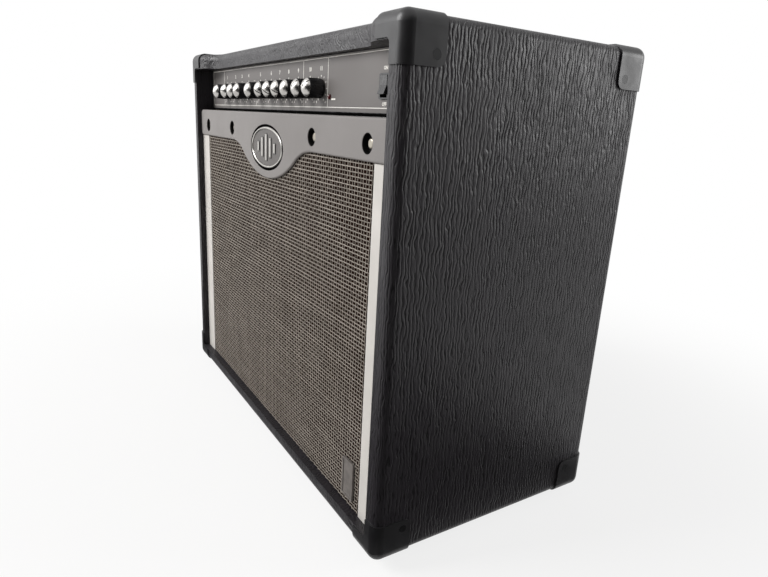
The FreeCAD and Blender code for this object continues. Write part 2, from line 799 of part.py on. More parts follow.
def badge_screws():
    """The four bright screws in the badge panel's cups."""
    return Part.makeCompound([badge_screw(x, 0.0) for x in badge_screw_places()])


def grille_plate():
    """The small bare plate with a raised rim, low on the right of the cloth."""
    right = inner_x - STRIP_W - STRIP_GAP - PLATE_SIDE_GAP
    left = right - PLATE_W
    low = floor_z + PLATE_RISE
    front = cloth_front_y - PLATE_T
    plate = box(left, right, front, cloth_front_y, low, low + PLATE_H)
    plate = plate.makeFillet(PLATE_RIM, edges_along(plate, "Y", lambda middle: True))
    sunk = box(left + PLATE_RIM, right - PLATE_RIM, front - OVERCUT, front + PLATE_FACE_DROP,
               low + PLATE_RIM, low + PLATE_H - PLATE_RIM)
    return plate.cut(sunk)


def corner_guard(side, depth, level, shell):
    """One moulded protector: the part of a thin shell within reach of a corner, cut out between the
    boards on its front or back face, and drilled for its screws."""
    tip = V(side * (half_w + GUARD_T), depth * (half_d + GUARD_T),
            top_z + GUARD_T if level > 0 else base_z - GUARD_T)
    root = tip - V(side * GUARD_REACH, depth * GUARD_REACH, level * GUARD_REACH)
    low = V(min(tip.x, root.x), min(tip.y, root.y), min(tip.z, root.z))
    cube = Part.makeBox(GUARD_REACH, GUARD_REACH, GUARD_REACH, low)
    inner = []
    for edge in cube.Edges:
        if any(vertex.Point.distanceToPoint(root) < 1e-6 for vertex in edge.Vertexes):
            inner.append(edge)
    reach = cube.makeFillet(GUARD_TIP_R, inner)
    window = box(-inner_x - GUARD_LIP, inner_x + GUARD_LIP, front_y - CABINET_D, back_y + CABINET_D,
                 floor_z - GUARD_LIP, ceiling_z + GUARD_LIP)
    window = window.makeFillet(GUARD_INNER_R, edges_along(window, "Y", lambda middle: True))
    return drilled(shell.common(reach).cut(window), guard_screws())


def corner_protectors(depth):
    """The four protectors on the front (-1) or back (1) corners."""
    shell = rounded_block(GUARD_T).cut(rounded_block(0.0))
    signs = (-1, 1)
    guards = [corner_guard(side, depth, level, shell) for side in signs for level in signs]
    return Part.makeCompound(guards)


def handle_strap():
    """The strap's two ends, from the end caps up to the grip."""
    ends = []
    strap_in_grip_z = grip_z + (GRIP_T - STRAP_T) / 2
    for side in (-1, 1):

        def place(x, z):
            return V(side * x, -STRAP_W / 2, z)

        def bend(lift):
            start = (strap_end_x, strap_in_grip_z + lift)
            return s_bend(start, (cap_x, strap_z + lift), 0.5, place)

        tail_x = cap_x + STRAP_TUCK - STRAP_GAP
        edges = bend(0.0) + bend(STRAP_T)
        low_corner = place(strap_end_x, strap_in_grip_z)
        edges.append(line(low_corner, low_corner + V(0, 0, STRAP_T)))
        edges.append(line(place(cap_x, strap_z), place(tail_x, strap_z)))
        edges.append(line(place(tail_x, strap_z), place(tail_x, strap_z + STRAP_T)))
        edges.append(line(place(tail_x, strap_z + STRAP_T), place(cap_x, strap_z + STRAP_T)))
        ends.append(slab(edges, V(0, STRAP_W, 0)))
    return Part.makeCompound(ends)


def handle_grip():
    """The thick middle of the handle, which a hand closes round."""
    half = GRIP_LENGTH / 2
    grip = box(-half, half, -GRIP_W / 2, GRIP_W / 2, grip_z, grip_z + GRIP_T)
    return grip.makeFillet(GRIP_EDGE_R, edges_along(grip, "X", lambda middle: True))


def handle_end_caps():
    """The two moulded caps that hold the strap's ends down to the top board."""
    caps = []
    for side in (-1, 1):
        near = min(side * cap_x, side * (cap_x + CAP_LENGTH))
        cap = box(near, near + CAP_LENGTH, -CAP_W / 2, CAP_W / 2, top_z, top_z + CAP_H)
        upper = [edge for edge in cap.Edges if edge.BoundBox.ZMin > top_z + CAP_H - 1e-6]
        cap = cap.makeFillet(CAP_EDGE_R, upper)
        slot_near = min(side * (cap_x - OVERCUT), side * (cap_x + STRAP_TUCK))
        half = STRAP_W / 2 + STRAP_GAP
        slot = box(slot_near, slot_near + STRAP_TUCK + OVERCUT, -half, half,
                   strap_z - STRAP_GAP, strap_z + STRAP_T + STRAP_GAP)
        cap = cap.cut(slot)
        for seat, way in handle_screws():
            well = rod(SCREW_HEAD_R + HOLE_FIT, seat, (0, 0, 1), CAP_H)
            cap = cap.cut(well)
        caps.append(drilled(cap, handle_screws()))
    return Part.makeCompound(caps)


def rubber_feet():
    """Four tapered rubber feet with a well for the screw."""
    feet = []
    for x, y in foot_places():
        foot = Part.makeCone(FOOT_TIP_R, FOOT_R, FOOT_H, V(x, y, 0), V(0, 0, 1))
        well = rod(FOOT_WELL_R, (x, y, 0), (0, 0, 1), FOOT_WELL_DEPTH)
        feet.append(drilled(foot.cut(well), foot_screws()))
    return Part.makeCompound(feet)


def bush_holes(radius_fit, y0, y1):
    """Holes for the pots, lever switches, jacks and lamp through a panel between two depths."""
    depth = y1 - y0
    holes = [rod(BUSH_R + radius_fit, (x, y0, control_z), (0, 1, 0), depth) for x in knob_x]
    holes += [rod(LEVER_BUSH_R + radius_fit, (x, y0, control_z), (0, 1, 0), depth) for x in switch_x]
    holes += [rod(JACK_THREAD_R + radius_fit, (x, y0, control_z), (0, 1, 0), depth) for x in front_jack_x]
    holes.append(rod(LED_R + radius_fit, (led_x, y0, panel_bottom_z + LED_RISE), (0, 1, 0), depth))
    half_width = ROCKER_BODY_W / 2 + radius_fit
    half_height = ROCKER_BODY_H / 2 + radius_fit
    holes.append(box(rocker_x - half_width, rocker_x + half_width, y0, y1,
                     control_z - half_height, control_z + half_height))
    return holes


def control_panel():
    """The flat printed panel in front of the chassis."""
    half = inner_x - BOARD_GAP
    plate = box(-half, half, panel_front_y, panel_back_y, panel_bottom_z, panel_top_z)
    return plate.cut(bush_holes(PANEL_FIT, panel_front_y - OVERCUT, panel_back_y + OVERCUT))


def rear_holes():
    """Holes for the rear fittings through the chassis's rear wall."""
    y0 = chassis_back_y - SHEET_T - OVERCUT
    depth = SHEET_T + 2 * OVERCUT
    holes = [rod(JACK_THREAD_R + PANEL_FIT, (x, y0, rear_z), (0, 1, 0), depth) for x in rear_jack_x]
    holes.append(rod(FUSE_BODY_R + PANEL_FIT, (fuse_x, y0, rear_z), (0, 1, 0), depth))
    half_width = INLET_BODY_W / 2 + PANEL_FIT
    half_height = INLET_BODY_H / 2 + PANEL_FIT
    holes.append(box(inlet_x - half_width, inlet_x + half_width, y0, y0 + depth,
                     rear_z - half_height, rear_z + half_height))
    return holes


def floor_holes():
    """Holes in the chassis floor for its bolts and for the leads."""
    holes = [chassis_bolt(x, y, HOLE_FIT) for x, y in chassis_bolt_places()]
    leads = [(speaker_lead_hole, SPEAKER_LEAD_R)] + [(at, REVERB_LEAD_R) for at in reverb_lead_holes]
    for (x, y), radius in leads:
        holes.append(rod(radius + LEAD_FIT, (x, y, rail_top_z - OVERCUT), (0, 0, 1), SHEET_T + 2 * OVERCUT))
    return holes


def chassis():
    """The folded steel tray that carries all the electronics, open at its top."""
    outer = box(-chassis_half_w, chassis_half_w, panel_back_y, chassis_back_y, rail_top_z, chassis_top_z)
    inner = box(-chassis_half_w + SHEET_T, chassis_half_w - SHEET_T, sheet_back_y,
                chassis_back_y - SHEET_T, chassis_floor_z, chassis_top_z + OVERCUT)
    holes = bush_holes(PANEL_FIT, panel_back_y - OVERCUT, sheet_back_y + OVERCUT)
    holes += rear_holes() + floor_holes()
    return outer.cut([inner] + holes)


def potentiometers():
    """Eleven rotary controls, each a can behind the chassis and a bush through both panels."""
    pots = []
    for x in knob_x:
        can = rod(POT_R, (x, sheet_back_y, control_z), (0, 1, 0), POT_DEPTH)
        bush = rod(BUSH_R, (x, panel_front_y, control_z), (0, 1, 0), sheet_back_y - panel_front_y)
        bore_length = sheet_back_y - panel_front_y + POT_DEPTH / 2
        bore = rod(SHAFT_R + SHAFT_FIT, (x, panel_front_y - OVERCUT, control_z), (0, 1, 0),
                   bore_length + OVERCUT)
        pots.append(can.fuse(bush).cut(bore))
    return Part.makeCompound(pots)


def knob(index):
    """One control knob on its shaft: a slightly tapered body, a domed cap and a pointer groove."""
    x = knob_x[index]
    back = panel_front_y - KNOB_GAP
    crown = back - KNOB_LENGTH
    tip = crown - KNOB_DOME
    dome_mid = KNOB_TOP_R / 2
    dome_r = (KNOB_TOP_R ** 2 + KNOB_DOME ** 2) / (2 * KNOB_DOME)
    mid_drop = dome_r - math.sqrt(dome_r ** 2 - dome_mid ** 2)
    edges = [line(V(0, back, 0), V(KNOB_BASE_R, back, 0))]
    edges.append(line(V(KNOB_BASE_R, back, 0), V(KNOB_TOP_R, crown, 0)))
    dome = Part.Arc(V(KNOB_TOP_R, crown, 0), V(dome_mid, tip + mid_drop, 0), V(0, tip, 0))
    edges.append(dome.toShape())
    edges.append(line(V(0, tip, 0), V(0, back, 0)))
    body = Part.Face(Part.Wire(edges)).revolve(V(0, 0, 0), V(0, 1, 0), 360)
    groove_y = crown - KNOB_DOME
    groove = box(-POINTER_W / 2, POINTER_W / 2, groove_y - OVERCUT, crown + POINTER_DEPTH, dome_mid * 0.5,
                 KNOB_BASE_R + OVERCUT)
    skin = body.copy()
    skin.translate(V(0, POINTER_DEPTH, 0))
    groove = groove.cut(skin)
    body = body.cut(groove)
    body.rotate(V(0, 0, 0), V(0, 1, 0), KNOB_REST_ANGLES[index])
    shaft_length = sheet_back_y - back + POT_DEPTH / 2 - SHAFT_END_GAP
    shaft = rod(SHAFT_R, (0, back, 0), (0, 1, 0), shaft_length)
    whole = body.fuse(shaft)
    whole.translate(V(x, 0, control_z))
    return whole


def lever_pivot_y():
    """Depth of the lever switches' pivots, just inside the front of their bushes."""
    return panel_front_y - LEVER_BUSH_PROUD + LEVER_PIVOT_DEPTH


def lever_switch_bodies():
    """The fixed parts of the three lever switches: a block, a bush and its nut."""
    switches = []
    front = panel_front_y - LEVER_BUSH_PROUD
    for x in switch_x:
        half = SWITCH_BODY / 2
        block = box(x - half, x + half, sheet_back_y, front_board_y, control_z - half, control_z + half)
        bush = rod(LEVER_BUSH_R, (x, front, control_z), (0, 1, 0), sheet_back_y - front)
        nut = hexagon(LEVER_NUT_R, (x, panel_front_y - LEVER_NUT_T, control_z), LEVER_NUT_T)
        bore_length = LEVER_PIVOT_DEPTH + LEVER_BALL_R + LEVER_FIT
        bore = rod(LEVER_BALL_R + LEVER_FIT, (x, front, control_z), (0, 1, 0), bore_length)
        switches.append(fused([block, bush, nut]).cut(bore))
    return Part.makeCompound(switches)


def switch_lever(index):
    """One lever: a ball in its bush, a thin stem and a thicker rounded tip, tilted up at rest."""
    stem_end = LEVER_LENGTH[index] * LEVER_STEM_SHARE
    tip_r = LEVER_TIP_R[index]
    tip_start = LEVER_LENGTH[index] - tip_r
    ball = Part.makeSphere(LEVER_BALL_R)
    stem = Part.makeCylinder(LEVER_STEM_R, stem_end, V(0, 0, 0), V(0, -1, 0))
    bat = Part.makeCone(LEVER_STEM_R, tip_r, tip_start - stem_end, V(0, -stem_end, 0), V(0, -1, 0))
    end = Part.makeSphere(tip_r, V(0, -tip_start, 0))
    lever = fused([ball, stem, bat, end])
    lever.rotate(V(0, 0, 0), V(1, 0, 0), -LEVER_TILT)
    lever.translate(V(switch_x[index], lever_pivot_y(), control_z))
    return lever


def power_lamp():
    """The small round indicator lamp, held by a flange behind the chassis's front wall."""
    z = panel_bottom_z + LED_RISE
    front = panel_front_y - LED_PROUD
    barrel = rod(LED_R, (led_x, front + LED_R, z), (0, 1, 0), sheet_back_y - front - LED_R)
    dome = Part.makeSphere(LED_R, V(led_x, front + LED_R, z))
    flange = rod(LED_FLANGE_R, (led_x, sheet_back_y, z), (0, 1, 0), LED_FLANGE_T)
    tail = rod(LED_R / 2, (led_x, sheet_back_y, z), (0, 1, 0), LED_FLANGE_T + LED_TAIL)
    return fused([dome, barrel, flange, tail])


def rocker_pivot_y():
    """Depth of the power rocker's pivot."""
    return panel_front_y + ROCKER_PIVOT_IN


def rocker_frame():
    """The power switch's fixed frame, with its bezel on the panel and its body through the chassis."""
    half_w_out = ROCKER_BEZEL_W / 2
    half_h_out = ROCKER_BEZEL_H / 2
    bezel = box(rocker_x - half_w_out, rocker_x + half_w_out, panel_front_y - ROCKER_BEZEL_T,
                panel_front_y, control_z - half_h_out, control_z + half_h_out)
    bezel = bezel.makeFillet(ROCKER_BEZEL_T, edges_along(bezel, "Y", lambda middle: True))
    half_w_in = ROCKER_BODY_W / 2
    half_h_in = ROCKER_BODY_H / 2
    body = box(rocker_x - half_w_in, rocker_x + half_w_in, panel_front_y,
               panel_front_y + ROCKER_BODY_DEPTH, control_z - half_h_in, control_z + half_h_in)
    well_w = half_w_in - ROCKER_WALL
    well_h = half_h_in - ROCKER_WALL / 3
    well = box(rocker_x - well_w, rocker_x + well_w, panel_front_y - ROCKER_BEZEL_T - OVERCUT,
               panel_front_y + ROCKER_BODY_DEPTH - ROCKER_WALL, control_z - well_h, control_z + well_h)
    pin_half = well_w + PIN_BITE + PIN_FIT
    pin_start = (rocker_x - pin_half, rocker_pivot_y(), control_z)
    pin = rod(PIN_R + PIN_FIT, pin_start, (1, 0, 0), 2 * pin_half)
    return bezel.fuse(body).removeSplitter().cut([well, pin])


def power_rocker():
    """The rocker of the power switch, on its pin, with its upper half pressed in at rest."""
    half = ROCKER_BODY_W / 2 - ROCKER_WALL - ROCKER_SIDE_GAP
    points = [V(-half, -ROCKER_TIP_OUT, ROCKER_TIP_Z), V(-half, -ROCKER_WAIST_OUT, 0)]
    points += [V(-half, -ROCKER_TIP_OUT, -ROCKER_TIP_Z), V(-half, ROCKER_ROOT_IN, -ROCKER_ROOT_Z)]
    points += [V(-half, ROCKER_ROOT_IN, ROCKER_ROOT_Z)]
    body = Part.Face(Part.makePolygon(points + points[:1])).extrude(V(2 * half, 0, 0))
    pin_half = half + ROCKER_SIDE_GAP + PIN_BITE
    pin = Part.makeCylinder(PIN_R, 2 * pin_half, V(-pin_half, 0, 0), V(1, 0, 0))
    rocker = body.fuse(pin)
    rocker.rotate(V(0, 0, 0), V(1, 0, 0), -ROCKER_TILT)
    rocker.translate(V(rocker_x, rocker_pivot_y(), control_z))
    return rocker


def jack(x, wall_y, into, z):
    """A 6.35 mm jack socket: a body inside the wall at wall_y, a threaded bush through it and a nut
    outside. into is 1 for a body behind a front wall and -1 for one in front of a rear wall."""
    thickness = sheet_back_y - panel_front_y if into > 0 else SHEET_T
    outside = wall_y - into * thickness
    half = JACK_BODY_W / 2
    near = min(wall_y, wall_y + into * JACK_BODY_DEPTH)
    body = box(x - half, x + half, near, near + JACK_BODY_DEPTH, z - half, z + half)
    bush_start = outside - into * JACK_PROUD
    bush = rod(JACK_THREAD_R, (x, bush_start, z), (0, into, 0), abs(wall_y - bush_start))
    nut_near = min(outside, outside - into * JACK_NUT_T)
    nut = hexagon(JACK_NUT_R, (x, nut_near, z), JACK_NUT_T)
    bore_length = abs(wall_y - bush_start) + JACK_BODY_DEPTH - JACK_END_WALL
    bore = rod(JACK_BORE_R, (x, bush_start, z), (0, into, 0), bore_length)
    return fused([body, bush, nut]).cut(bore)


def front_jacks():
    """The two instrument inputs."""
    return Part.makeCompound([jack(x, sheet_back_y, 1, control_z) for x in front_jack_x])


def rear_jacks():
    """The three rear sockets."""
    wall_y = chassis_back_y - SHEET_T
    return Part.makeCompound([jack(x, wall_y, -1, rear_z) for x in rear_jack_x])


def mains_inlet():
    """The appliance inlet for a detachable mains lead, with its three blades."""

    def upright(width, height, y0, y1):
        block = box(inlet_x - width / 2, inlet_x + width / 2, y0, y1, rear_z - height / 2,
                    rear_z + height / 2)
        return block.makeFillet(INLET_CORNER_R, edges_along(block, "Y", lambda middle: True))

    face_y = chassis_back_y + INLET_FLANGE_T
    floor_y = face_y - INLET_MOUTH_DEPTH
    flange = upright(INLET_FLANGE_W, INLET_FLANGE_H, chassis_back_y, face_y)
    body = box(inlet_x - INLET_BODY_W / 2, inlet_x + INLET_BODY_W / 2, floor_y - INLET_BACK_T,
               chassis_back_y, rear_z - INLET_BODY_H / 2, rear_z + INLET_BODY_H / 2)
    mouth = upright(INLET_MOUTH_W, INLET_MOUTH_H, floor_y, face_y + OVERCUT)
    shell = flange.fuse(body).removeSplitter().cut(mouth)
    blades = []
    places = ((-INLET_PIN_PITCH, -INLET_PIN_T), (0.0, INLET_EARTH_RISE), (INLET_PIN_PITCH, -INLET_PIN_T))
    for dx, dz in places:
        left = inlet_x + dx - INLET_PIN_T / 2
        low = rear_z + dz - INLET_PIN_H / 2
        blades.append(box(left, left + INLET_PIN_T, floor_y, floor_y + INLET_PIN_L, low, low + INLET_PIN_H))
    return fused([shell] + blades)


def fuse_holder():
    """The round fuse holder: body inside, nut and knurled cap outside."""
    inside = chassis_back_y - FUSE_BODY_L
    outside = chassis_back_y + FUSE_NUT_T
    body = rod(FUSE_BODY_R, (fuse_x, inside, rear_z), (0, 1, 0), FUSE_BODY_L + FUSE_NUT_T)
    nut = hexagon(FUSE_NUT_R, (fuse_x, chassis_back_y, rear_z), FUSE_NUT_T)
    cap = rod(FUSE_CAP_R, (fuse_x, outside, rear_z), (0, 1, 0), FUSE_CAP_L)
    return fused([body, nut, cap])


def heatsink():
    """The finned aluminium heatsink on the outside of the rear wall."""
    left = sink_x - sink_w / 2
    low = rear_z - SINK_H / 2
    y0 = chassis_back_y
    pieces = [box(left, left + sink_w, y0, y0 + SINK_BASE_T, low, low + SINK_H)]
    pitch = (sink_w - FIN_T) / (FIN_COUNT - 1)
    for step in range(FIN_COUNT):
        x = left + step * pitch
        pieces.append(box(x, x + FIN_T, y0, y0 + SINK_BASE_T + FIN_DEPTH, low, low + SINK_H))
    return fused(pieces)


def circuit_boards():
    """The control board behind the pots and the power board on its four standoffs."""
    low = control_z - FRONT_BOARD_H / 2
    left = knob_x[0] - FRONT_BOARD_OVERHANG
    right = knob_x[-1] + FRONT_BOARD_OVERHANG
    boards = [box(left, right, front_board_y, front_board_y + BOARD_T, low, low + FRONT_BOARD_H)]
    x0 = power_board_x - POWER_BOARD_W / 2
    y0 = POWER_BOARD_Y - POWER_BOARD_D / 2
    power = [box(x0, x0 + POWER_BOARD_W, y0, y0 + POWER_BOARD_D, power_board_z, power_board_z + BOARD_T)]
    for x in (x0 + STANDOFF_INSET, x0 + POWER_BOARD_W - STANDOFF_INSET):
        for y in (y0 + STANDOFF_INSET, y0 + POWER_BOARD_D - STANDOFF_INSET):
            power.append(rod(STANDOFF_R, (x, y, chassis_floor_z), (0, 0, 1), STANDOFF_H))
    return Part.makeCompound(boards + [fused(power)])


def filter_capacitors():
    """The two tall smoothing capacitors on the power board."""
    z = power_board_z + BOARD_T
    cans = []
    for side in (-1, 1):
        x = power_board_x + side * CAPACITOR_PITCH / 2
        cans.append(rod(CAPACITOR_R, (x, POWER_BOARD_Y, z), (0, 0, 1), CAPACITOR_H))
    return Part.makeCompound(cans)


def power_transformer():
    """The mains transformer: a laminated core with two windows and the winding on its middle leg."""
    x0 = core_x - CORE_W / 2
    y0 = CORE_Y - CORE_D / 2
    z0 = chassis_floor_z
    core = box(x0, x0 + CORE_W, y0, y0 + CORE_D, z0, z0 + CORE_H)
    window_w = (CORE_W - 4 * CORE_LEG) / 2
    window_z0 = z0 + CORE_LEG
    window_z1 = z0 + CORE_H - CORE_LEG
    for start in (x0 + CORE_LEG, x0 + CORE_W - CORE_LEG - window_w):
        core = core.cut(box(start, start + window_w, y0 - OVERCUT, y0 + CORE_D + OVERCUT,
                            window_z0, window_z1))
    reach = CORE_LEG + window_w - WINDING_FIT
    winding = box(core_x - reach, core_x + reach, y0 - WINDING_BULGE, y0 + CORE_D + WINDING_BULGE,
                  window_z0, window_z1)
    leg = CORE_LEG + WINDING_FIT
    hole = box(core_x - leg, core_x + leg, y0 - WINDING_FIT, y0 + CORE_D + WINDING_FIT,
               window_z0 - OVERCUT, window_z1 + OVERCUT)
    return Part.makeCompound([core, winding.cut(hole)])


def speaker_basket():
    """The pressed steel frame: a flat rim, an open skirt on six arms, and a hub for the magnet."""
    y0 = baffle_back_y
    slope_end = hub_y - BASKET_T
    profile = [(rim_inner_r, y0), (rim_r, y0), (rim_r, y0 + RIM_T), (rim_inner_r + BASKET_T, y0 + RIM_T)]
    profile += [(SPIDER_R + 2 * BASKET_T, y0 + SPIDER_LEDGE_DEPTH), (HUB_R, slope_end), (HUB_R, hub_y)]
    profile += [(HUB_HOLE_R, hub_y), (HUB_HOLE_R, slope_end), (HUB_R - BASKET_T, slope_end)]
    profile += [(SPIDER_R - BASKET_T, y0 + SPIDER_LEDGE_DEPTH + BASKET_T)]
    profile += [(SPIDER_R - BASKET_T, y0 + SPIDER_LEDGE_DEPTH), (SPIDER_R, y0 + SPIDER_LEDGE_DEPTH)]
    frame = turned(profile, speaker_z)
    window_y0 = y0 + 4 * RIM_T
    window_y1 = y0 + SPIDER_LEDGE_DEPTH - RIM_T
    ring = rod(rim_inner_r + rim_r, (0, window_y0, speaker_z), (0, 1, 0), window_y1 - window_y0)
    for step in range(BASKET_WINDOWS // 2):
        arm = box(-rim_r * 2, rim_r * 2, window_y0, window_y1, speaker_z - WINDOW_ARM / 2,
                  speaker_z + WINDOW_ARM / 2)
        arm.rotate(V(0, 0, speaker_z), V(0, 1, 0), 30 + 360 * step / BASKET_WINDOWS)
        ring = ring.cut(arm)
    frame = frame.cut(ring)
    terminal_y = hub_y - TERMINAL_T
    terminal = box(-TERMINAL_W / 2, TERMINAL_W / 2, terminal_y, hub_y, speaker_z + HUB_R - 2 * BASKET_T,
                   speaker_z + HUB_R + TERMINAL_H)
    bolts = [speaker_bolt(x, z, HOLE_FIT) for x, z in speaker_bolt_places()]
    return frame.fuse(terminal).removeSplitter().cut(bolts)


def speaker_magnet():
    """Top plate, ring magnet, and back plate with its centre pole."""
    y0 = hub_y
    top = turned([(COIL_R + COIL_T + COIL_GAP, y0), (TOP_PLATE_R, y0), (TOP_PLATE_R, y0 + TOP_PLATE_T),
                  (COIL_R + COIL_T + COIL_GAP, y0 + TOP_PLATE_T)], speaker_z)
    y1 = y0 + TOP_PLATE_T
    y2 = y1 + MAGNET_T
    magnet = turned([(MAGNET_BORE_R, y1), (MAGNET_R, y1), (MAGNET_R, y2), (MAGNET_BORE_R, y2)], speaker_z)
    plate = rod(TOP_PLATE_R, (0, y2, speaker_z), (0, 1, 0), BACK_PLATE_T)
    pole = rod(COIL_R - COIL_GAP, (0, y0, speaker_z), (0, 1, 0), y2 - y0)
    return Part.makeCompound([top, magnet, plate.fuse(pole)])


def cone_depth(radius):
    """How far behind the rim the paper cone's front lies at a radius: a shallow curve, not a straight
    flank, so that the cone deepens faster near its neck."""
    share = (cone_r - radius) / (cone_r - CONE_NECK_R)
    return CONE_DEPTH * share ** CONE_CURVE_POWER


def speaker_cone():
    """The moving part: the paper cone, its dust cap and the voice coil's tube, as one piece."""
    span = cone_r - CONE_NECK_R
    radii = [cone_r - span * step / CONE_STEP_COUNT for step in range(CONE_STEP_COUNT + 1)]
    y0 = baffle_back_y
    front = [(radius, y0 + cone_depth(radius)) for radius in radii]
    back = [(radius, y + CONE_T) for radius, y in reversed(front)]
    paper = turned(front + back, speaker_z)
    neck_y = y0 + CONE_DEPTH
    collar_r = CONE_NECK_R + CONE_T
    tube_r = COIL_R + COIL_T
    tube_profile = [(COIL_R, neck_y), (collar_r, neck_y), (collar_r, neck_y + CONE_T)]
    tube_profile += [(tube_r, neck_y + CONE_T), (tube_r, y0 + COIL_END), (COIL_R, y0 + COIL_END)]
    tube = turned(tube_profile, speaker_z)
    rest_y = y0 + cone_depth(DUST_CAP_R)
    dome_r = (DUST_CAP_R ** 2 + DUST_CAP_RISE ** 2) / (2 * DUST_CAP_RISE)
    half_drop = dome_r - math.sqrt(dome_r ** 2 - (DUST_CAP_R / 2) ** 2)
    tip_y = rest_y - DUST_CAP_RISE

    def at(radius, y):
        return V(radius, y, speaker_z)

    outer_arc = Part.Arc(at(DUST_CAP_R, rest_y), at(DUST_CAP_R / 2, tip_y + half_drop), at(0, tip_y))
    cap_edges = [outer_arc.toShape()]
    cap_edges.append(line(at(0, tip_y), at(0, tip_y + CONE_T)))
    inner_arc = Part.Arc(at(0, tip_y + CONE_T), at(DUST_CAP_R / 2, tip_y + half_drop + CONE_T),
                         at(DUST_CAP_R, rest_y + CONE_T))
    cap_edges.append(inner_arc.toShape())
    cap_edges.append(line(at(DUST_CAP_R, rest_y + CONE_T), at(DUST_CAP_R, rest_y)))
    cap = Part.Face(Part.Wire(cap_edges)).revolve(V(0, 0, speaker_z), V(0, 1, 0), 360)
    return fused([paper, tube, cap])


def speaker_surround():
    """The soft half-roll that joins the cone's edge to the rim."""
    inner_r = cone_r + SOFT_GAP
    roll_r = (SURROUND_R - SURROUND_FLANGE - inner_r) / 2
    middle = inner_r + roll_r
    y0 = baffle_back_y - SOFT_GAP
    flat_y = y0 - SURROUND_T

    def at(radius, y):
        return V(radius, y, speaker_z)

    thin = roll_r - SURROUND_T
    edges = [line(at(SURROUND_R, y0), at(SURROUND_R, flat_y))]
    edges.append(line(at(SURROUND_R, flat_y), at(inner_r + 2 * roll_r, flat_y)))
    crest = at(middle, flat_y - roll_r)
    outer_roll = Part.Arc(at(middle + roll_r, flat_y), crest, at(middle - roll_r, flat_y))
    edges.append(outer_roll.toShape())
    edges.append(line(at(inner_r, flat_y), at(inner_r, y0)))
    edges.append(line(at(inner_r, y0), at(middle - thin, y0)))
    inner_roll = Part.Arc(at(middle - thin, y0), at(middle, y0 - thin), at(middle + thin, y0))
    edges.append(inner_roll.toShape())
    edges.append(line(at(middle + thin, y0), at(SURROUND_R, y0)))
    face = Part.Face(Part.Wire(edges))
    return face.revolve(V(0, 0, speaker_z), V(0, 1, 0), 360)


def speaker_spider():
    """The corrugated centring disc between the voice coil and the basket's ledge."""
    y0 = baffle_back_y + SPIDER_LEDGE_DEPTH - SOFT_GAP - SPIDER_T
    inner = COIL_R + COIL_T + SOFT_GAP
    edge_r = SPIDER_R - SPIDER_FLAT
    halves = 2 * SPIDER_WAVE_COUNT
    front = [(SPIDER_R - SOFT_GAP, y0)]
    for step in range(halves + 1):
        lift = SPIDER_T if step % 2 else 0.0
        front.append((edge_r - (edge_r - inner) * step / halves, y0 - lift))
    back = [(radius, y + SPIDER_T) for radius, y in reversed(front)]
    return turned(front + back, speaker_z)


def tank_sockets():
    """The reverb tank's two sockets, on its top."""
    return [rod(SOCKET_R, (x, y, tank_top_z), (0, 0, 1), SOCKET_H) for x, y in reverb_socket_xy]


def reverb_tank():
    """The reverb tank: a steel channel, open below, on two flanges, with three springs inside."""
    x0 = -TANK_W / 2
    y0 = TANK_Y - TANK_D / 2
    outer = box(x0, -x0, y0, y0 + TANK_D, floor_z, tank_top_z)
    inner = box(x0 + TANK_T, -x0 - TANK_T, y0 + TANK_T, y0 + TANK_D - TANK_T, floor_z - OVERCUT,
                tank_top_z - TANK_T)
    flange = box(x0 - TANK_FLANGE, -x0 + TANK_FLANGE, y0, y0 + TANK_D, floor_z, floor_z + TANK_T)
    channel = outer.fuse(flange).removeSplitter().cut(inner)
    carriers = []
    carrier_gap = TANK_T + BOARD_GAP
    for side in (-1, 1):
        near = min(side * (-x0 - TANK_T), side * (-x0 - TANK_T - SPRING_CARRIER))
        carriers.append(box(near, near + SPRING_CARRIER, y0 + carrier_gap, y0 + TANK_D - carrier_gap,
                            tank_top_z - TANK_T - TANK_H / 3, tank_top_z - TANK_T))
    spring_x = -x0 - TANK_T - SPRING_CARRIER
    spring_z = tank_top_z - TANK_T - TANK_H / 6
    springs = []
    for step in (-1, 0, 1):
        start = (-spring_x, TANK_Y + step * SPRING_OFFSET, spring_z)
        springs.append(rod(SPRING_R, start, (1, 0, 0), 2 * spring_x))
    tank = fused([channel] + tank_sockets())
    return Part.makeCompound([tank] + carriers + springs)


def lead(points, radius):
    """A round lead along straight runs joined by tangent arcs that are as large as the runs allow.
    Prints the arcs' radii and compares the volume with the section times the length."""
    route = [V(*point) for point in points]
    edges = []
    radii = []
    at = route[0]
    for before, corner, after in zip(route, route[1:], route[2:]):
        arriving = (corner - before).normalize()
        leaving = (after - corner).normalize()
        turn = arriving.getAngle(leaving)
        shorter = min((corner - before).Length, (after - corner).Length)
        tangent = LEAD_TANGENT_SHARE * shorter
        bend = tangent / math.tan(turn / 2)
        start = corner - arriving * tangent
        end = corner + leaving * tangent
        centre_way = (leaving - arriving).normalize()
        middle = corner + centre_way * (bend / math.cos(turn / 2) - bend)
        edges.append(Part.makeLine(at, start))
        edges.append(Part.Arc(start, middle, end).toShape())
        radii.append(round(bend, 1))
        at = end
    edges.append(Part.makeLine(at, route[-1]))
    path = Part.Wire(edges)
    section = Part.Wire(Part.makeCircle(radius, route[0], (route[1] - route[0]).normalize()))
    tube = path.makePipeShell([section], True, False)
    expected = math.pi * radius ** 2 * path.Length
    print("lead: radii", radii, "length", round(path.Length, 1))
    print("lead: volume share", round(tube.Volume / expected, 4))
    return tube


def shifted(place, offsets):
    """The points that lie at these offsets from a place."""
    x, y, z = place
    return [(x + dx, y + dy, z + dz) for dx, dy, dz in offsets]


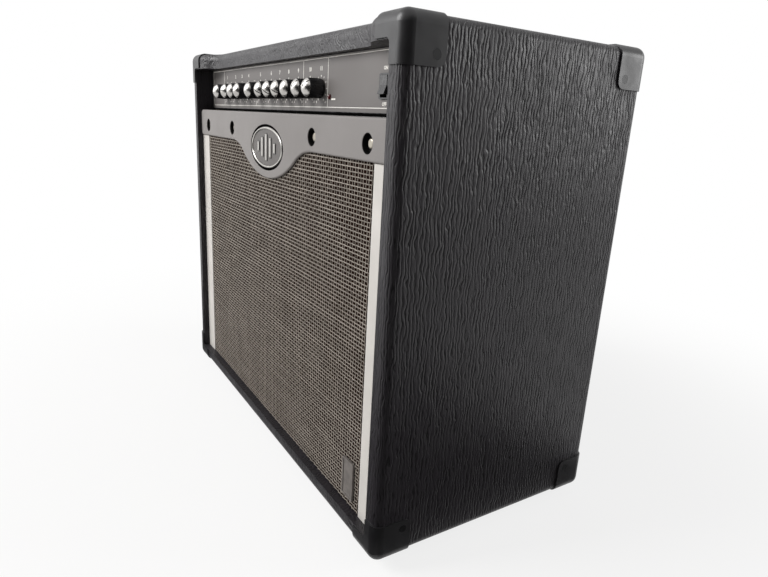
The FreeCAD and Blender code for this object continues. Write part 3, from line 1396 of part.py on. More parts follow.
def speaker_lead():
    """The two-core lead from the chassis floor to the loudspeaker's terminals."""
    x, y = speaker_lead_hole
    terminal = (0.0, hub_y - TERMINAL_T / 2, speaker_z + HUB_R + TERMINAL_H)
    points = shifted(terminal, SPEAKER_LEAD_FOOT) + shifted((x, y, chassis_floor_z), SPEAKER_LEAD_HEAD)
    return lead(points, SPEAKER_LEAD_R)


def reverb_leads():
    """The two screened leads from the chassis floor to the reverb tank, each with its plug."""
    leads = []
    for (sx, sy), (hx, hy) in zip(reverb_socket_xy, reverb_lead_holes):
        plug_z = tank_top_z + SOCKET_H + PLUG_GRIP_GAP
        plug = rod(PLUG_R, (sx, sy, plug_z), (0, 0, 1), PLUG_L)
        points = shifted((sx, sy, plug_z + PLUG_L), REVERB_LEAD_FOOT)
        points += shifted((hx, hy, chassis_floor_z), REVERB_LEAD_HEAD)
        leads.append(plug.fuse(lead(points, REVERB_LEAD_R)))
    return Part.makeCompound(leads)


def save(name, shape):
    """Write one sub-part to its STEP file."""
    shape.exportStep(os.path.join("parts", name + ".step"))


def main():
    """Build every sub-part and write it."""
    os.makedirs("parts", exist_ok=True)
    makers = [top_panel, bottom_panel, baffle_board, cleats, upper_back_panel, lower_back_panel]
    makers += [grille_cloth, grille_trim_strips, badge_panel, badge_ring, badge_disc, badge_screws]
    makers += [grille_plate, cabinet_screws, machine_bolts, handle_strap, handle_grip, handle_end_caps]
    makers += [rubber_feet, chassis, control_panel, circuit_boards, filter_capacitors, heatsink]
    makers += [power_transformer, potentiometers, lever_switch_bodies, front_jacks, rocker_frame]
    makers += [power_rocker, power_lamp, speaker_basket, speaker_magnet, speaker_cone, speaker_surround]
    makers += [speaker_spider, reverb_tank, speaker_lead, reverb_leads, mains_inlet, fuse_holder, rear_jacks]
    for maker in makers:
        save(maker.__name__, maker())
    save("left_side_panel", side_panel(-1))
    save("right_side_panel", side_panel(1))
    save("front_corner_protectors", corner_protectors(-1))
    save("rear_corner_protectors", corner_protectors(1))
    for index in range(len(knob_x)):
        save("knob_%02d" % (index + 1), knob(index))
    for index in range(len(switch_x)):
        save("switch_lever_%d" % (index + 1), switch_lever(index))


main()
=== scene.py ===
"""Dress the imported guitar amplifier: finishes, woven cloth, printing, knobs, handle, leads and studio.

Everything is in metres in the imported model's own frame: +X to the player's right, +Y to the back, +Z up.
Sizes inside the classes are in millimetres and pass through MM where they meet a mesh.
"""

import json
import logging
import math
from dataclasses import dataclass, field
from enum import Enum

import bmesh
import bpy
import numpy as np
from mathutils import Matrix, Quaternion, Vector


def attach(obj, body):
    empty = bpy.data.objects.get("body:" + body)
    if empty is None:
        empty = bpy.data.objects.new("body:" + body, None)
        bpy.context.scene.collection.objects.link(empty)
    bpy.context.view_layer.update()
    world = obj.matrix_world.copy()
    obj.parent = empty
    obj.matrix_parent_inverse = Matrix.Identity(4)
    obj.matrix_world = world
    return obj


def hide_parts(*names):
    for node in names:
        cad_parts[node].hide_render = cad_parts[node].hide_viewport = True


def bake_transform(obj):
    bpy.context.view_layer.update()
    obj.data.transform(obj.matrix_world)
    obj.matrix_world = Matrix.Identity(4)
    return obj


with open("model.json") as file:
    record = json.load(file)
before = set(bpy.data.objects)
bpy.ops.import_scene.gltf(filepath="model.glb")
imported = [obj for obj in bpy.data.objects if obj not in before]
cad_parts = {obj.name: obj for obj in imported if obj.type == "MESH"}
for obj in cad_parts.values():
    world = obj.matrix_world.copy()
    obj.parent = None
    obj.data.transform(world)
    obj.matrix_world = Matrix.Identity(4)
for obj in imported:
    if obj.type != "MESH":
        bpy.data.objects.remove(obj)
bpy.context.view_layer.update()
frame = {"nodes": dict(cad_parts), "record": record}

LOG = logging.getLogger("guitar_amplifier")
MM = 0.001
WHITE = (1.0, 1.0, 1.0, 1.0)
# The wave texture's scale that gives one band for each millimetre.
WAVE_PER_MM = 0.31
TURN = 2 * math.pi

Tree = bpy.types.NodeTree
Socket = bpy.types.NodeSocket
Material = bpy.types.Material
Piece = bpy.types.Object
Shape = tuple[np.ndarray, list]


class Body(str, Enum):
    """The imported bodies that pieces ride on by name."""

    CABINET = "cabinet"
    GRIP = "handle_grip"
    CONE = "speaker_cone"


class Run(Enum):
    """The way that a yarn or a grain runs."""

    ALONG_X = (1, 0, 0)
    ALONG_Z = (0, 0, 1)


# ---------------------------------------------------------------- node and mesh helpers


def linear(code: str) -> tuple[float, float, float, float]:
    """Turn an sRGB hex colour into linear RGBA.

    Args:
        code: Six hex digits after a hash sign.

    Returns:
        Linear red, green and blue, and an alpha of one.
    """
    levels = [int(code[place:place + 2], 16) / 255 for place in (1, 3, 5)]
    made = [v / 12.92 if v <= 0.04045 else ((v + 0.055) / 1.055) ** 2.4 for v in levels]
    return made[0], made[1], made[2], 1.0


def add_node(tree: Tree, kind: str, settings: dict | None = None,
             links: dict | None = None) -> bpy.types.Node:
    """Add one node with its settings and its incoming links.

    Args:
        tree: The node tree that gets the node.
        kind: The node's type name.
        settings: Property names, or socket names or numbers, with their values.
        links: Socket names or numbers with the output that feeds each.

    Returns:
        The new node.
    """
    node = tree.nodes.new(kind)
    for key, value in (settings or {}).items():
        if isinstance(key, str) and key not in node.inputs and hasattr(node, key):
            setattr(node, key, value)
        else:
            node.inputs[key].default_value = value
    for key, source in (links or {}).items():
        tree.links.new(source, node.inputs[key])
    return node


def fresh_tree(owner: Material | bpy.types.World) -> Tree:
    """Switch a material's or a world's nodes on and empty them."""
    owner.use_nodes = True
    owner.node_tree.nodes.clear()
    return owner.node_tree


def linked(name: str, data: bpy.types.ID | None) -> Piece:
    """Make an object from its data and put it in the scene."""
    made = bpy.data.objects.new(name, data)
    bpy.context.scene.collection.objects.link(made)
    return made


def outward(obj: Piece) -> None:
    """Make a piece's faces point outwards."""
    work = bmesh.new()
    work.from_mesh(obj.data)
    bmesh.ops.recalc_face_normals(work, faces=work.faces)
    work.to_mesh(obj.data)
    work.free()


def piece(name: str, shape: Shape, finish: Material, slot: str, body: str | None = Body.CABINET.value,
          smooth: bool = True, sharp: float | None = None, turned: bool = True) -> Piece:
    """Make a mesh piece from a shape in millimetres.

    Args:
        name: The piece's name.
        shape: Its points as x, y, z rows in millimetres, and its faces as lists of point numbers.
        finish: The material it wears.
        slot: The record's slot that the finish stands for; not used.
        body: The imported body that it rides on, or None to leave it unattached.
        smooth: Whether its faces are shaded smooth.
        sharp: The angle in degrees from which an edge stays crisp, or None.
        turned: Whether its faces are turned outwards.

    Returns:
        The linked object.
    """
    points, faces = shape
    mesh = bpy.data.meshes.new(name)
    mesh.from_pydata((np.asarray(points, float) * MM).tolist(), [], faces)
    mesh.update()
    mesh.validate()
    obj = linked(name, mesh)
    mesh.materials.append(finish)
    if smooth:
        mesh.polygons.foreach_set("use_smooth", [True] * len(mesh.polygons))
    if turned:
        outward(obj)
    if sharp:
        mesh.set_sharp_from_angle(angle=math.radians(sharp))
    if body:
        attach(obj, body)
    return obj


def loft(rings: np.ndarray | list, closed: bool = False) -> Shape:
    """Join rings of points into a tube.

    Args:
        rings: Rings of points, each as x, y and z.
        closed: Whether the last ring joins the first; if not, both ends get a cap.

    Returns:
        The points as rows, and the faces.
    """
    rings = np.asarray(rings, float)
    count, around = rings.shape[:2]
    faces = []
    for ring in range(count if closed else count - 1):
        near, far = ring * around, (ring + 1) % count * around
        for step in range(around):
            after = (step + 1) % around
            faces.append([near + step, near + after, far + after, far + step])
    if not closed:
        faces.append(list(range(around))[::-1])
        faces.append([(count - 1) * around + step for step in range(around)])
    return rings.reshape(-1, 3), faces


def lathe(profile: list[tuple[float, float]], centre: tuple[float, float], segments: int,
          ripple: object = None) -> Shape:
    """Turn a profile about an axis along Y.

    Args:
        profile: Pairs of radius and y.
        centre: The axis's x and z.
        segments: How many steps go round.
        ripple: A function of angle and radius that gives the radius there, or None.

    Returns:
        The points and the faces, with both ends capped.
    """
    angles = np.linspace(0, TURN, segments, endpoint=False)
    rings = np.zeros((len(profile), segments, 3))
    for row, (radius, y) in enumerate(profile):
        reach = np.array([ripple(angle, radius) if ripple else radius for angle in angles])
        rings[row, :, 0] = centre[0] + reach * np.sin(angles)
        rings[row, :, 1] = y
        rings[row, :, 2] = centre[1] + reach * np.cos(angles)
    return loft(rings)


def merged(parts: list[Shape]) -> Shape:
    """Put several point and face lists together as one."""
    points, faces, base = [], [], 0
    for part_points, part_faces in parts:
        points.append(np.asarray(part_points, float))
        faces += [[base + place for place in face] for face in part_faces]
        base += len(part_points)
    return np.concatenate(points), faces


def rounded(steps: int, wide_power: float, high_power: float) -> list[tuple[float, float]]:
    """The outline of a rounded bar's section, within one unit each way.

    Args:
        steps: How many points go round.
        wide_power: How flat its left and right sides are: the smaller, the flatter.
        high_power: The same for its top and bottom.

    Returns:
        Pairs of a wide and a high share from -1 to 1.
    """
    angles = [TURN * place / steps for place in range(steps)]
    return [(math.copysign(abs(math.cos(angle)) ** wide_power, math.cos(angle)),
             math.copysign(abs(math.sin(angle)) ** high_power, math.sin(angle))) for angle in angles]


# ---------------------------------------------------------------- finishes


@dataclass(frozen=True)
class Region:
    """A box in millimetres inside which a finish gives way to another colour: raw board under it, or painted
    shade.
    """

    low: tuple
    high: tuple
    colour: str


@dataclass(frozen=True)
class Finish:
    """A real material and how its surface was made. Each kind of surface is a subclass."""

    name: str
    colour: str
    second: str
    roughness: float
    metallic: float = 0.0
    ior: float = 1.5
    coat: float = 0.0
    sheen: float = 0.0
    grain_mm: float = 0.6
    relief_mm: float = 0.03
    patch_mm: float = 70.0
    rough_spread: float = 0.08
    # Boxes of raw board and of painted shade.
    bare: tuple = ()

    def millimetres(self, tree: Tree) -> Socket:
        """The place on the object in millimetres."""
        place = add_node(tree, "ShaderNodeTexCoord").outputs["Object"]
        scaled = add_node(tree, "ShaderNodeVectorMath", {"operation": "MULTIPLY", 1: (1 / MM,) * 3},
                          {0: place})
        return scaled.outputs[0]

    def noise(self, tree: Tree, place: Socket, pitch_mm: float,
              detail: float = 3.0, stretch: tuple = (1, 1, 1)) -> Socket:
        """Soft random values.

        Args:
            tree: The tree that gets the nodes.
            place: The place in millimetres.
            pitch_mm: The size of one patch.
            detail: How many finer layers it has.
            stretch: How much longer the patches are along each axis.

        Returns:
            A value from 0 to 1.
        """
        scale = tuple(1 / (pitch_mm * times) for times in stretch)
        moved = add_node(tree, "ShaderNodeVectorMath", {"operation": "MULTIPLY", 1: scale}, {0: place})
        made = add_node(tree, "ShaderNodeTexNoise", {"Scale": 1.0, "Detail": detail},
                        {"Vector": moved.outputs[0]})
        return made.outputs["Fac"]

    def cells(self, tree: Tree, place: Socket, size_mm: float,
              feature: str = "F1") -> bpy.types.Node:
        """Flat cells of one size, by the place in millimetres."""
        scaled = add_node(tree, "ShaderNodeVectorMath", {"operation": "SCALE", "Scale": 1 / size_mm},
                          {0: place})
        return add_node(tree, "ShaderNodeTexVoronoi", {"feature": feature, "Scale": 1.0},
                        {"Vector": scaled.outputs[0]})

    def math(self, tree: Tree, operation: str, first: object, second: object = 0.0,
             clamp: bool = False) -> Socket:
        """One arithmetic step on sockets or plain numbers."""
        settings, links = {"operation": operation, "use_clamp": clamp}, {}
        for number, value in ((0, first), (1, second)):
            if isinstance(value, Socket):
                links[number] = value
            else:
                settings[number] = value
        return add_node(tree, "ShaderNodeMath", settings, links).outputs[0]

    def spread(self, tree: Tree, value: Socket, low: float, high: float,
               to_low: float = 0.0, to_high: float = 1.0) -> Socket:
        """Stretch a range of values over another range, smoothly at both ends."""
        settings = {"interpolation_type": "SMOOTHSTEP", "From Min": low, "From Max": high,
                    "To Min": to_low, "To Max": to_high}
        return add_node(tree, "ShaderNodeMapRange", settings, {"Value": value}).outputs["Result"]

    def within(self, tree: Tree, place: Socket, region: Region) -> Socket:
        """One inside a region and zero outside it."""
        middle = tuple((a + b) / 2 for a, b in zip(region.low, region.high))
        half = tuple((b - a) / 2 for a, b in zip(region.low, region.high))
        away = add_node(tree, "ShaderNodeVectorMath", {"operation": "SUBTRACT", 1: middle}, {0: place})
        size = add_node(tree, "ShaderNodeVectorMath", {"operation": "ABSOLUTE"}, {0: away.outputs[0]})
        past = add_node(tree, "ShaderNodeVectorMath", {"operation": "SUBTRACT", 1: half},
                        {0: size.outputs[0]})
        parts = add_node(tree, "ShaderNodeSeparateXYZ", {}, {0: past.outputs[0]}).outputs
        most = self.math(tree, "MAXIMUM", self.math(tree, "MAXIMUM", parts[0], parts[1]), parts[2])
        return self.spread(tree, most, -0.08, 0.08, 1.0, 0.0)

    def surface(self, tree: Tree, place: Socket) -> tuple:
        """The share of the second colour and the height, both from 0 to 1."""
        patches = self.noise(tree, place, self.patch_mm)
        return self.spread(tree, patches, 0.3, 0.7), self.noise(tree, place, self.grain_mm, 4.0)

    def material(self) -> Material:
        """Build the node material."""
        made = bpy.data.materials.new(self.name)
        tree = fresh_tree(made)
        place = self.millimetres(tree)
        share, height = self.surface(tree, place)
        ramp = add_node(tree, "ShaderNodeValToRGB", {}, {"Fac": share})
        ramp.color_ramp.elements[0].color = linear(self.colour)
        ramp.color_ramp.elements[1].color = linear(self.second)
        colour = ramp.outputs["Color"]
        # Raw board and painted shade from the finish's regions.
        for region in self.bare:
            mixed = add_node(tree, "ShaderNodeMix", {"data_type": "RGBA", 7: linear(region.colour)},
                             {0: self.within(tree, place, region), 6: colour})
            colour = mixed.outputs[2]
        settings = {"Metallic": self.metallic, "Coat Weight": self.coat, "Sheen Weight": self.sheen}
        links = {"Base Color": colour}
        if self.rough_spread:
            smears = self.noise(tree, place, self.patch_mm * 0.4, 5.0)
            links["Roughness"] = self.spread(tree, smears, 0.3, 0.7, self.roughness - self.rough_spread,
                                             self.roughness + self.rough_spread)
        else:
            settings["Roughness"] = self.roughness
        bump = add_node(tree, "ShaderNodeBump", {"Strength": 1.0, "Distance": self.relief_mm * MM},
                        {"Height": height})
        links["Normal"] = bump.outputs[0]
        if not self.metallic:
            settings["IOR"] = self.ior
        shader = add_node(tree, "ShaderNodeBsdfPrincipled", settings, links)
        self.adjust(shader)
        add_node(tree, "ShaderNodeOutputMaterial", {}, {"Surface": shader.outputs[0]})
        return made

    def adjust(self, shader: bpy.types.Node) -> None:
        """Set what only this kind of finish has on the shader."""


@dataclass(frozen=True)
class GrainedVinyl(Finish):
    """PVC cloth, embossed with a bark grain and glued over board."""

    wrinkle_mm: float = 3.8
    across: tuple = (1.0, 1.0, 0.0)
    lengthen: tuple = (1.0, 1.0, 2.2)
    waver: tuple = (2.1, 1.3)

    def ridges(self, tree: Tree, place: Socket) -> Socket:
        """Rounded ridges between narrow creases, which waver, part and join along their run.

        Args:
            tree: The tree that gets the nodes.
            place: The place in millimetres.

        Returns:
            Zero in a crease and one on a ridge.
        """
        steps = tuple(share / self.wrinkle_mm for share in self.across)
        count = add_node(tree, "ShaderNodeVectorMath", {"operation": "DOT_PRODUCT", 1: steps}, {0: place})
        broad = self.noise(tree, place, 3 * self.wrinkle_mm, 1.0, self.lengthen)
        near = self.noise(tree, place, self.wrinkle_mm, 1.0, self.lengthen)
        turn = count.outputs["Value"]
        for wander, reach in zip((broad, near), self.waver):
            turn = self.math(tree, "ADD", turn, self.math(tree, "MULTIPLY", wander, reach))
        wave = self.math(tree, "SINE", self.math(tree, "MULTIPLY", turn, math.pi))
        return self.math(tree, "ABSOLUTE", wave)

    def surface(self, tree: Tree, place: Socket) -> tuple:
        """Wrinkles that are deep in some places and faint in others, pebbled finely, with the creases
        painted darker as painted shade.
        """
        gap = self.math(tree, "SUBTRACT", 1.0, self.ridges(tree, place))
        patches = self.noise(tree, place, 1.6 * self.wrinkle_mm, 2.0, self.lengthen)
        depth = self.math(tree, "MULTIPLY", gap, self.spread(tree, patches, 0.35, 0.6, 0.4, 1.0))
        pebbles = self.noise(tree, place, self.grain_mm, 3.0)
        height = self.math(tree, "SUBTRACT", self.math(tree, "MULTIPLY", pebbles, 0.3), depth)
        # The colour follows the creases' depth: painted shade in the creases.
        return self.spread(tree, depth, 0.25, 0.85), height


@dataclass(frozen=True)
class Brushed(Finish):
    """Metal drawn over an abrasive belt, so that its fine scratches run one way."""

    run: Run = Run.ALONG_X

    def surface(self, tree: Tree, place: Socket) -> tuple:
        """Long fine scratches and broad dull patches."""
        stretch = tuple(1 + 60 * along for along in self.run.value)
        scratches = self.noise(tree, place, self.grain_mm, 4.0, stretch)
        return self.spread(tree, self.noise(tree, place, self.patch_mm), 0.35, 0.7), scratches


@dataclass(frozen=True)
class Spangled(Finish):
    """Hot-dip or bright zinc on sheet steel, which freezes in flat crystals."""

    def surface(self, tree: Tree, place: Socket) -> tuple:
        """Flat crystals of slightly different tone."""
        crystals = self.cells(tree, place, self.patch_mm)
        tone = self.math(tree, "MULTIPLY", crystals.outputs["Color"], 0.8)
        return tone, self.noise(tree, place, self.grain_mm, 4.0)


@dataclass(frozen=True)
class Chips(Finish):
    """Particle board: pressed wood chips, stained."""

    def surface(self, tree: Tree, place: Socket) -> tuple:
        """Flat chips with darker glue between them."""
        chips = self.cells(tree, place, self.grain_mm).outputs["Distance"]
        return chips, chips


@dataclass(frozen=True)
class Timber(Finish):
    """Planed softwood with growth rings cut along the batten."""

    run: Run = Run.ALONG_Z

    def surface(self, tree: Tree, place: Socket) -> tuple:
        """Rings drawn out along the batten, and fine pores."""
        stretch = tuple(1 + 14 * along for along in self.run.value)
        rings = self.noise(tree, place, self.patch_mm, 6.0, stretch)
        bands = self.math(tree, "FRACT", self.math(tree, "MULTIPLY", rings, 9.0))
        return bands, self.noise(tree, place, self.grain_mm, 2.0, stretch)


@dataclass(frozen=True)
class Yarn(Finish):
    """Twisted textile yarn: plies that wind round it, and whole yarns of slightly different tone."""

    run: Run = Run.ALONG_X
    pitch_mm: float = 4.05
    twist_mm: float = 1.5

    def surface(self, tree: Tree, place: Socket) -> tuple:
        """Slanting plies with painted shade in the grooves between them, and a tone for each yarn that
        drifts along it.
        """
        stretch = tuple(1 + 24 * along for along in self.run.value)
        drift = self.noise(tree, place, self.pitch_mm * 0.7, 2.0, stretch)
        mapped = add_node(tree, "ShaderNodeMapping", {"Rotation": (0, math.radians(38), 0)},
                          {"Vector": place})
        plies = add_node(tree, "ShaderNodeTexWave",
                         {"wave_type": "BANDS", "bands_direction": "X", "Scale": WAVE_PER_MM / self.twist_mm,
                          "Distortion": 1.2, "Detail": 2.0}, {"Vector": mapped.outputs[0]})
        fuzz = self.noise(tree, place, self.grain_mm, 3.0)
        height = self.math(tree, "ADD", plies.outputs["Fac"], fuzz)
        # The grooves between the plies are painted darker: painted shade.
        between = self.math(tree, "MULTIPLY", self.spread(tree, plies.outputs["Fac"], 0.5, 0.0), 0.45)
        tint = self.math(tree, "ADD", self.spread(tree, drift, 0.36, 0.64, 0.0, 0.6), between, clamp=True)
        return tint, self.math(tree, "MULTIPLY", height, 0.5)


@dataclass(frozen=True)
class Pulp(Finish):
    """Pressed paper pulp, with the fibres showing."""

    def surface(self, tree: Tree, place: Socket) -> tuple:
        """Short crossing fibres and cloudy formation."""
        bend = self.noise(tree, place, self.grain_mm, 6.0, (3, 1, 1))
        cross = self.noise(tree, place, self.grain_mm, 6.0, (1, 1, 3))
        fibres = self.math(tree, "MAXIMUM", bend, cross)
        return self.spread(tree, fibres, 0.45, 0.75), fibres


@dataclass(frozen=True)
class FineWeave(Finish):
    """Resin-dipped cloth with a small plain weave."""

    pitch_mm: float = 1.1

    def surface(self, tree: Tree, place: Socket) -> tuple:
        """Two crossed sets of small yarns, painted darker where they dip as painted shade."""
        sets = [add_node(tree, "ShaderNodeTexWave",
                         {"wave_type": "BANDS", "bands_direction": direction,
                          "Scale": WAVE_PER_MM / self.pitch_mm, "Distortion": 0.3}, {"Vector": place})
                for direction in ("X", "Z")]
        height = self.math(tree, "MAXIMUM", sets[0].outputs["Fac"], sets[1].outputs["Fac"])
        return self.spread(tree, height, 0.9, 0.3), height


@dataclass(frozen=True)
class Laminate(Finish):
    """Circuit board: glass and epoxy under green lacquer, with copper runs beneath it."""

    def surface(self, tree: Tree, place: Socket) -> tuple:
        """Runs of copper that show through as a lighter green."""
        runs = self.cells(tree, place, self.grain_mm, "DISTANCE_TO_EDGE")
        lines = self.spread(tree, runs.outputs["Distance"], 0.08, 0.16)
        return lines, lines


@dataclass(frozen=True)
class Lens(Finish):
    """Clear tinted plastic that light passes through."""

    def adjust(self, shader: bpy.types.Node) -> None:
        """Let part of the light through."""
        shader.inputs["Transmission Weight"].default_value = 0.35


# Raw board shows inside the cabinet, where the cloth isn't wrapped round.
INSIDE = (Region((-269.8, -104.0, 29.8), (269.8, 132.0, 468.2), "#4a3d30"),)
# Painted shade on the badge panel: its cups, the emblem's seat and groove, and its flange are coloured black
# behind its face, where shade falls.
BADGE_SHADE_REGIONS = (Region((-270.0, -133.35, 380.8), (270.0, -90.0, 399.2), "#0b0b0b"),
             Region((-52.0, -133.7, 360.5), (52.0, -90.0, 384.0), "#0b0b0b"),
             Region((-44.0, -133.7, 352.0), (44.0, -90.0, 392.5), "#0b0b0b"),
             Region((-28.0, -133.7, 346.0), (28.0, -90.0, 399.0), "#0b0b0b"),
             Region((-270.0, -131.9, 300.0), (270.0, -90.0, 412.0), "#0b0b0b"))
# Painted shade: the control panel's lowest edge is coloured black for the shadowed gap above the badge
# panel.
PANEL_EDGE_SHADE = (Region((-270.0, -116.0, 410.0), (270.0, -112.0, 415.2), "#060606"),)


@dataclass(frozen=True)
class Finishes:
    """Every finish on the amplifier, by the record's slot, and the few that only new pieces wear."""

    made: dict = field(default_factory=dict)

    def slots(self) -> dict[str, Finish]:
        """The finish of each slot in the record."""
        return {
            # Embossed PVC cloth on MDF: near black, a soft sheen that catches on the ridges, its creases
            # painted darker as painted shade.
            "vinyl_board": GrainedVinyl("embossed_pvc_cloth_on_board", "#232024", "#0d0b0d", 0.44, ior=1.45,
                                        grain_mm=0.8, relief_mm=0.4, rough_spread=0.05, bare=INSIDE),
            # Stained particle board: dull dark brown, speckled by its chips.
            "raw_board": Chips("stained_particle_board", "#2e2823", "#463b30", 0.85, grain_mm=2.4,
                               relief_mm=0.15),
            # Planed pine: warm, with ring bands along each batten.
            "softwood": Timber("planed_pine", "#b48d5c", "#94693c", 0.7, patch_mm=9.0, grain_mm=0.5,
                               relief_mm=0.08),
            # Dark brown scrim behind the open weave, seen only through its holes.
            "grille_weave": FineWeave("dark_polyester_scrim", "#24140f", "#190e0b", 0.95, ior=1.1,
                                      relief_mm=0.2),
            # Moulded ABS painted silver grey: pale, nearly matt and very slightly speckled.
            "pale_trim": Finish("silver_grey_painted_abs", "#c6c2bd", "#bab6b1", 0.52, ior=1.4, grain_mm=0.4,
                                relief_mm=0.012),
            # Spark-textured ABS: flat mid grey, soft highlight, with painted shade in its cups, the emblem's
            # groove and its flange.
            "badge_plastic": Finish("spark_textured_grey_abs", "#7e7a78", "#767270", 0.56, ior=1.38,
                                    grain_mm=0.35, relief_mm=0.02, patch_mm=120.0, rough_spread=0.04,
                                    bare=BADGE_SHADE_REGIONS),
            # Nickel-plated ABS: pale and bright, softened by faint waviness.
            "bright_ring": Finish("bright_nickel_plated_abs", "#c3c0bb", "#aeaba6", 0.3, metallic=1.0,
                                  grain_mm=6.0, relief_mm=0.02, rough_spread=0.03),
            # Smooth moulded ABS inside the ring: a little darker than the panel round it.
            "dark_gloss": Finish("smooth_grey_abs", "#56524f", "#4e4a48", 0.45, ior=1.4, grain_mm=5.0,
                                 relief_mm=0.01, rough_spread=0.04),
            # Bright zinc on steel screws: a little warm and softly shining.
            "screw_silver": Brushed("bright_zinc_screw", "#a39d90", "#85807a", 0.4, metallic=1.0,
                                    grain_mm=0.2, relief_mm=0.01),
            # Injection-moulded polyethylene: black, waxy, scuffed lighter in patches.
            "guard_plastic": Finish("moulded_black_polyethylene", "#19181a", "#201f21", 0.42,
                                    grain_mm=0.5, relief_mm=0.015, patch_mm=45.0, rough_spread=0.05),
            # Black oxide on steel: dark, oily and slightly blue.
            "screw_black": Finish("black_oxide_screw", "#0d0d0f", "#151517", 0.45, metallic=0.3,
                                  grain_mm=0.3, relief_mm=0.02),
            "bolt_zinc": Finish("zinc_plated_bolt", "#bdbcb8", "#98978f", 0.36, metallic=1.0,
                                grain_mm=0.4, relief_mm=0.02),
            # Moulded soft PVC strap: black with a leather-like pebble.
            "strap_vinyl": Finish("soft_pvc_strap", "#242325", "#302e30", 0.5, grain_mm=1.3,
                                  relief_mm=0.14, patch_mm=20.0),
            # Natural rubber filled with carbon: matt, chalky where it rubs.
            "foot_rubber": Finish("carbon_filled_rubber", "#201f1f", "#3a3836", 0.8, grain_mm=1.0,
                                  relief_mm=0.06, patch_mm=18.0),
            # Zinc-coated sheet steel: cool grey crystals.
            "chassis_steel": Spangled("zinc_coated_sheet_steel", "#b3b4b3", "#90918f", 0.38, metallic=1.0,
                                      patch_mm=9.0, grain_mm=0.5, relief_mm=0.02),
            # Screen-printed aluminium with a satin grey paint: even and smooth, with a painted shade line
            # along its lowest edge.
            "panel_grey": Finish("satin_painted_aluminium_panel", "#676361", "#5f5b59", 0.5, ior=1.38,
                                 grain_mm=0.5, relief_mm=0.01, patch_mm=150.0, rough_spread=0.04,
                                 bare=PANEL_EDGE_SHADE),
            "board_green": Laminate("epoxy_glass_circuit_board", "#1d5a3a", "#123d29", 0.35, grain_mm=5.0,
                                    relief_mm=0.04),
            # Shrunk PVC sleeve on the capacitors: tight, smooth and slightly glossy.
            "capacitor_sleeve": Finish("shrunk_pvc_sleeve", "#1b2540", "#141c33", 0.25, grain_mm=4.0,
                                       relief_mm=0.02),
            # Black anodised extrusion: dark with a dry metallic sheen.
            "sink_black": Brushed("black_anodised_extrusion", "#26262a", "#1a1a1d", 0.42, metallic=0.6,
                                  grain_mm=0.25, relief_mm=0.03, run=Run.ALONG_Z),
            "transformer_steel": Brushed("lacquered_silicon_steel", "#7d7468", "#5d554b", 0.45,
                                         metallic=0.8, grain_mm=0.5, relief_mm=0.06, run=Run.ALONG_X),
            "pot_metal": Brushed("nickel_plated_brass", "#b5b0a6", "#98938a", 0.3, metallic=1.0,
                                 grain_mm=0.3, relief_mm=0.02),
            # Moulded polyamide: black with a dry satin skin.
            "black_plastic": Finish("moulded_black_polyamide", "#1d1d1f", "#282829", 0.42, grain_mm=0.4,
                                    relief_mm=0.02, patch_mm=16.0),
            # Tinted acrylic: deep red when unlit.
            "lamp_red": Lens("red_acrylic_lens", "#7c0f12", "#590a0d", 0.12, ior=1.49, grain_mm=2.0,
                             relief_mm=0.01),
            "lever_plastic": Finish("polished_black_acetal", "#161517", "#201f21", 0.28, grain_mm=0.6,
                                    relief_mm=0.01, patch_mm=10.0),
            "knob_plastic": Finish("moulded_black_phenolic", "#151416", "#1f1e20", 0.34, grain_mm=0.5,
                                   relief_mm=0.02, patch_mm=8.0),
            # Black baked enamel on pressed steel: smooth with a slight orange peel.
            "basket_paint": Finish("black_baked_enamel", "#1b1b1d", "#252527", 0.35, grain_mm=1.6,
                                   relief_mm=0.04, coat=0.1),
            # Sintered ferrite: charcoal, dull and chipped at its edges.
            "magnet_ferrite": Finish("sintered_ferrite", "#39383a", "#4a494a", 0.62, grain_mm=0.9,
                                     relief_mm=0.08, patch_mm=12.0),
            # Long-fibre paper pulp dyed grey-black: soft, cloudy and fibrous.
            "cone_paper": Pulp("dyed_pulp_paper", "#2a2927", "#3c3a36", 0.9, grain_mm=0.8, relief_mm=0.12),
            "surround_cloth": FineWeave("doped_cotton_surround", "#1f1d1b", "#141210", 0.55,
                                        relief_mm=0.1),
            # Cotton dipped in phenolic resin: golden brown and stiff.
            "spider_cloth": FineWeave("resin_dipped_cotton", "#b07f3d", "#8a5f2a", 0.7, relief_mm=0.12),
            "tank_steel": Spangled("tin_coated_sheet_steel", "#a8a7a2", "#8b8a85", 0.34, metallic=1.0,
                                   patch_mm=16.0, grain_mm=0.6, relief_mm=0.02),
            # Extruded PVC sheath: black, smooth and faintly dusty.
            "lead_pvc": Finish("extruded_pvc_sheath", "#1c1c1d", "#2a2a2a", 0.45, grain_mm=1.0,
                               relief_mm=0.03, patch_mm=25.0),
        }

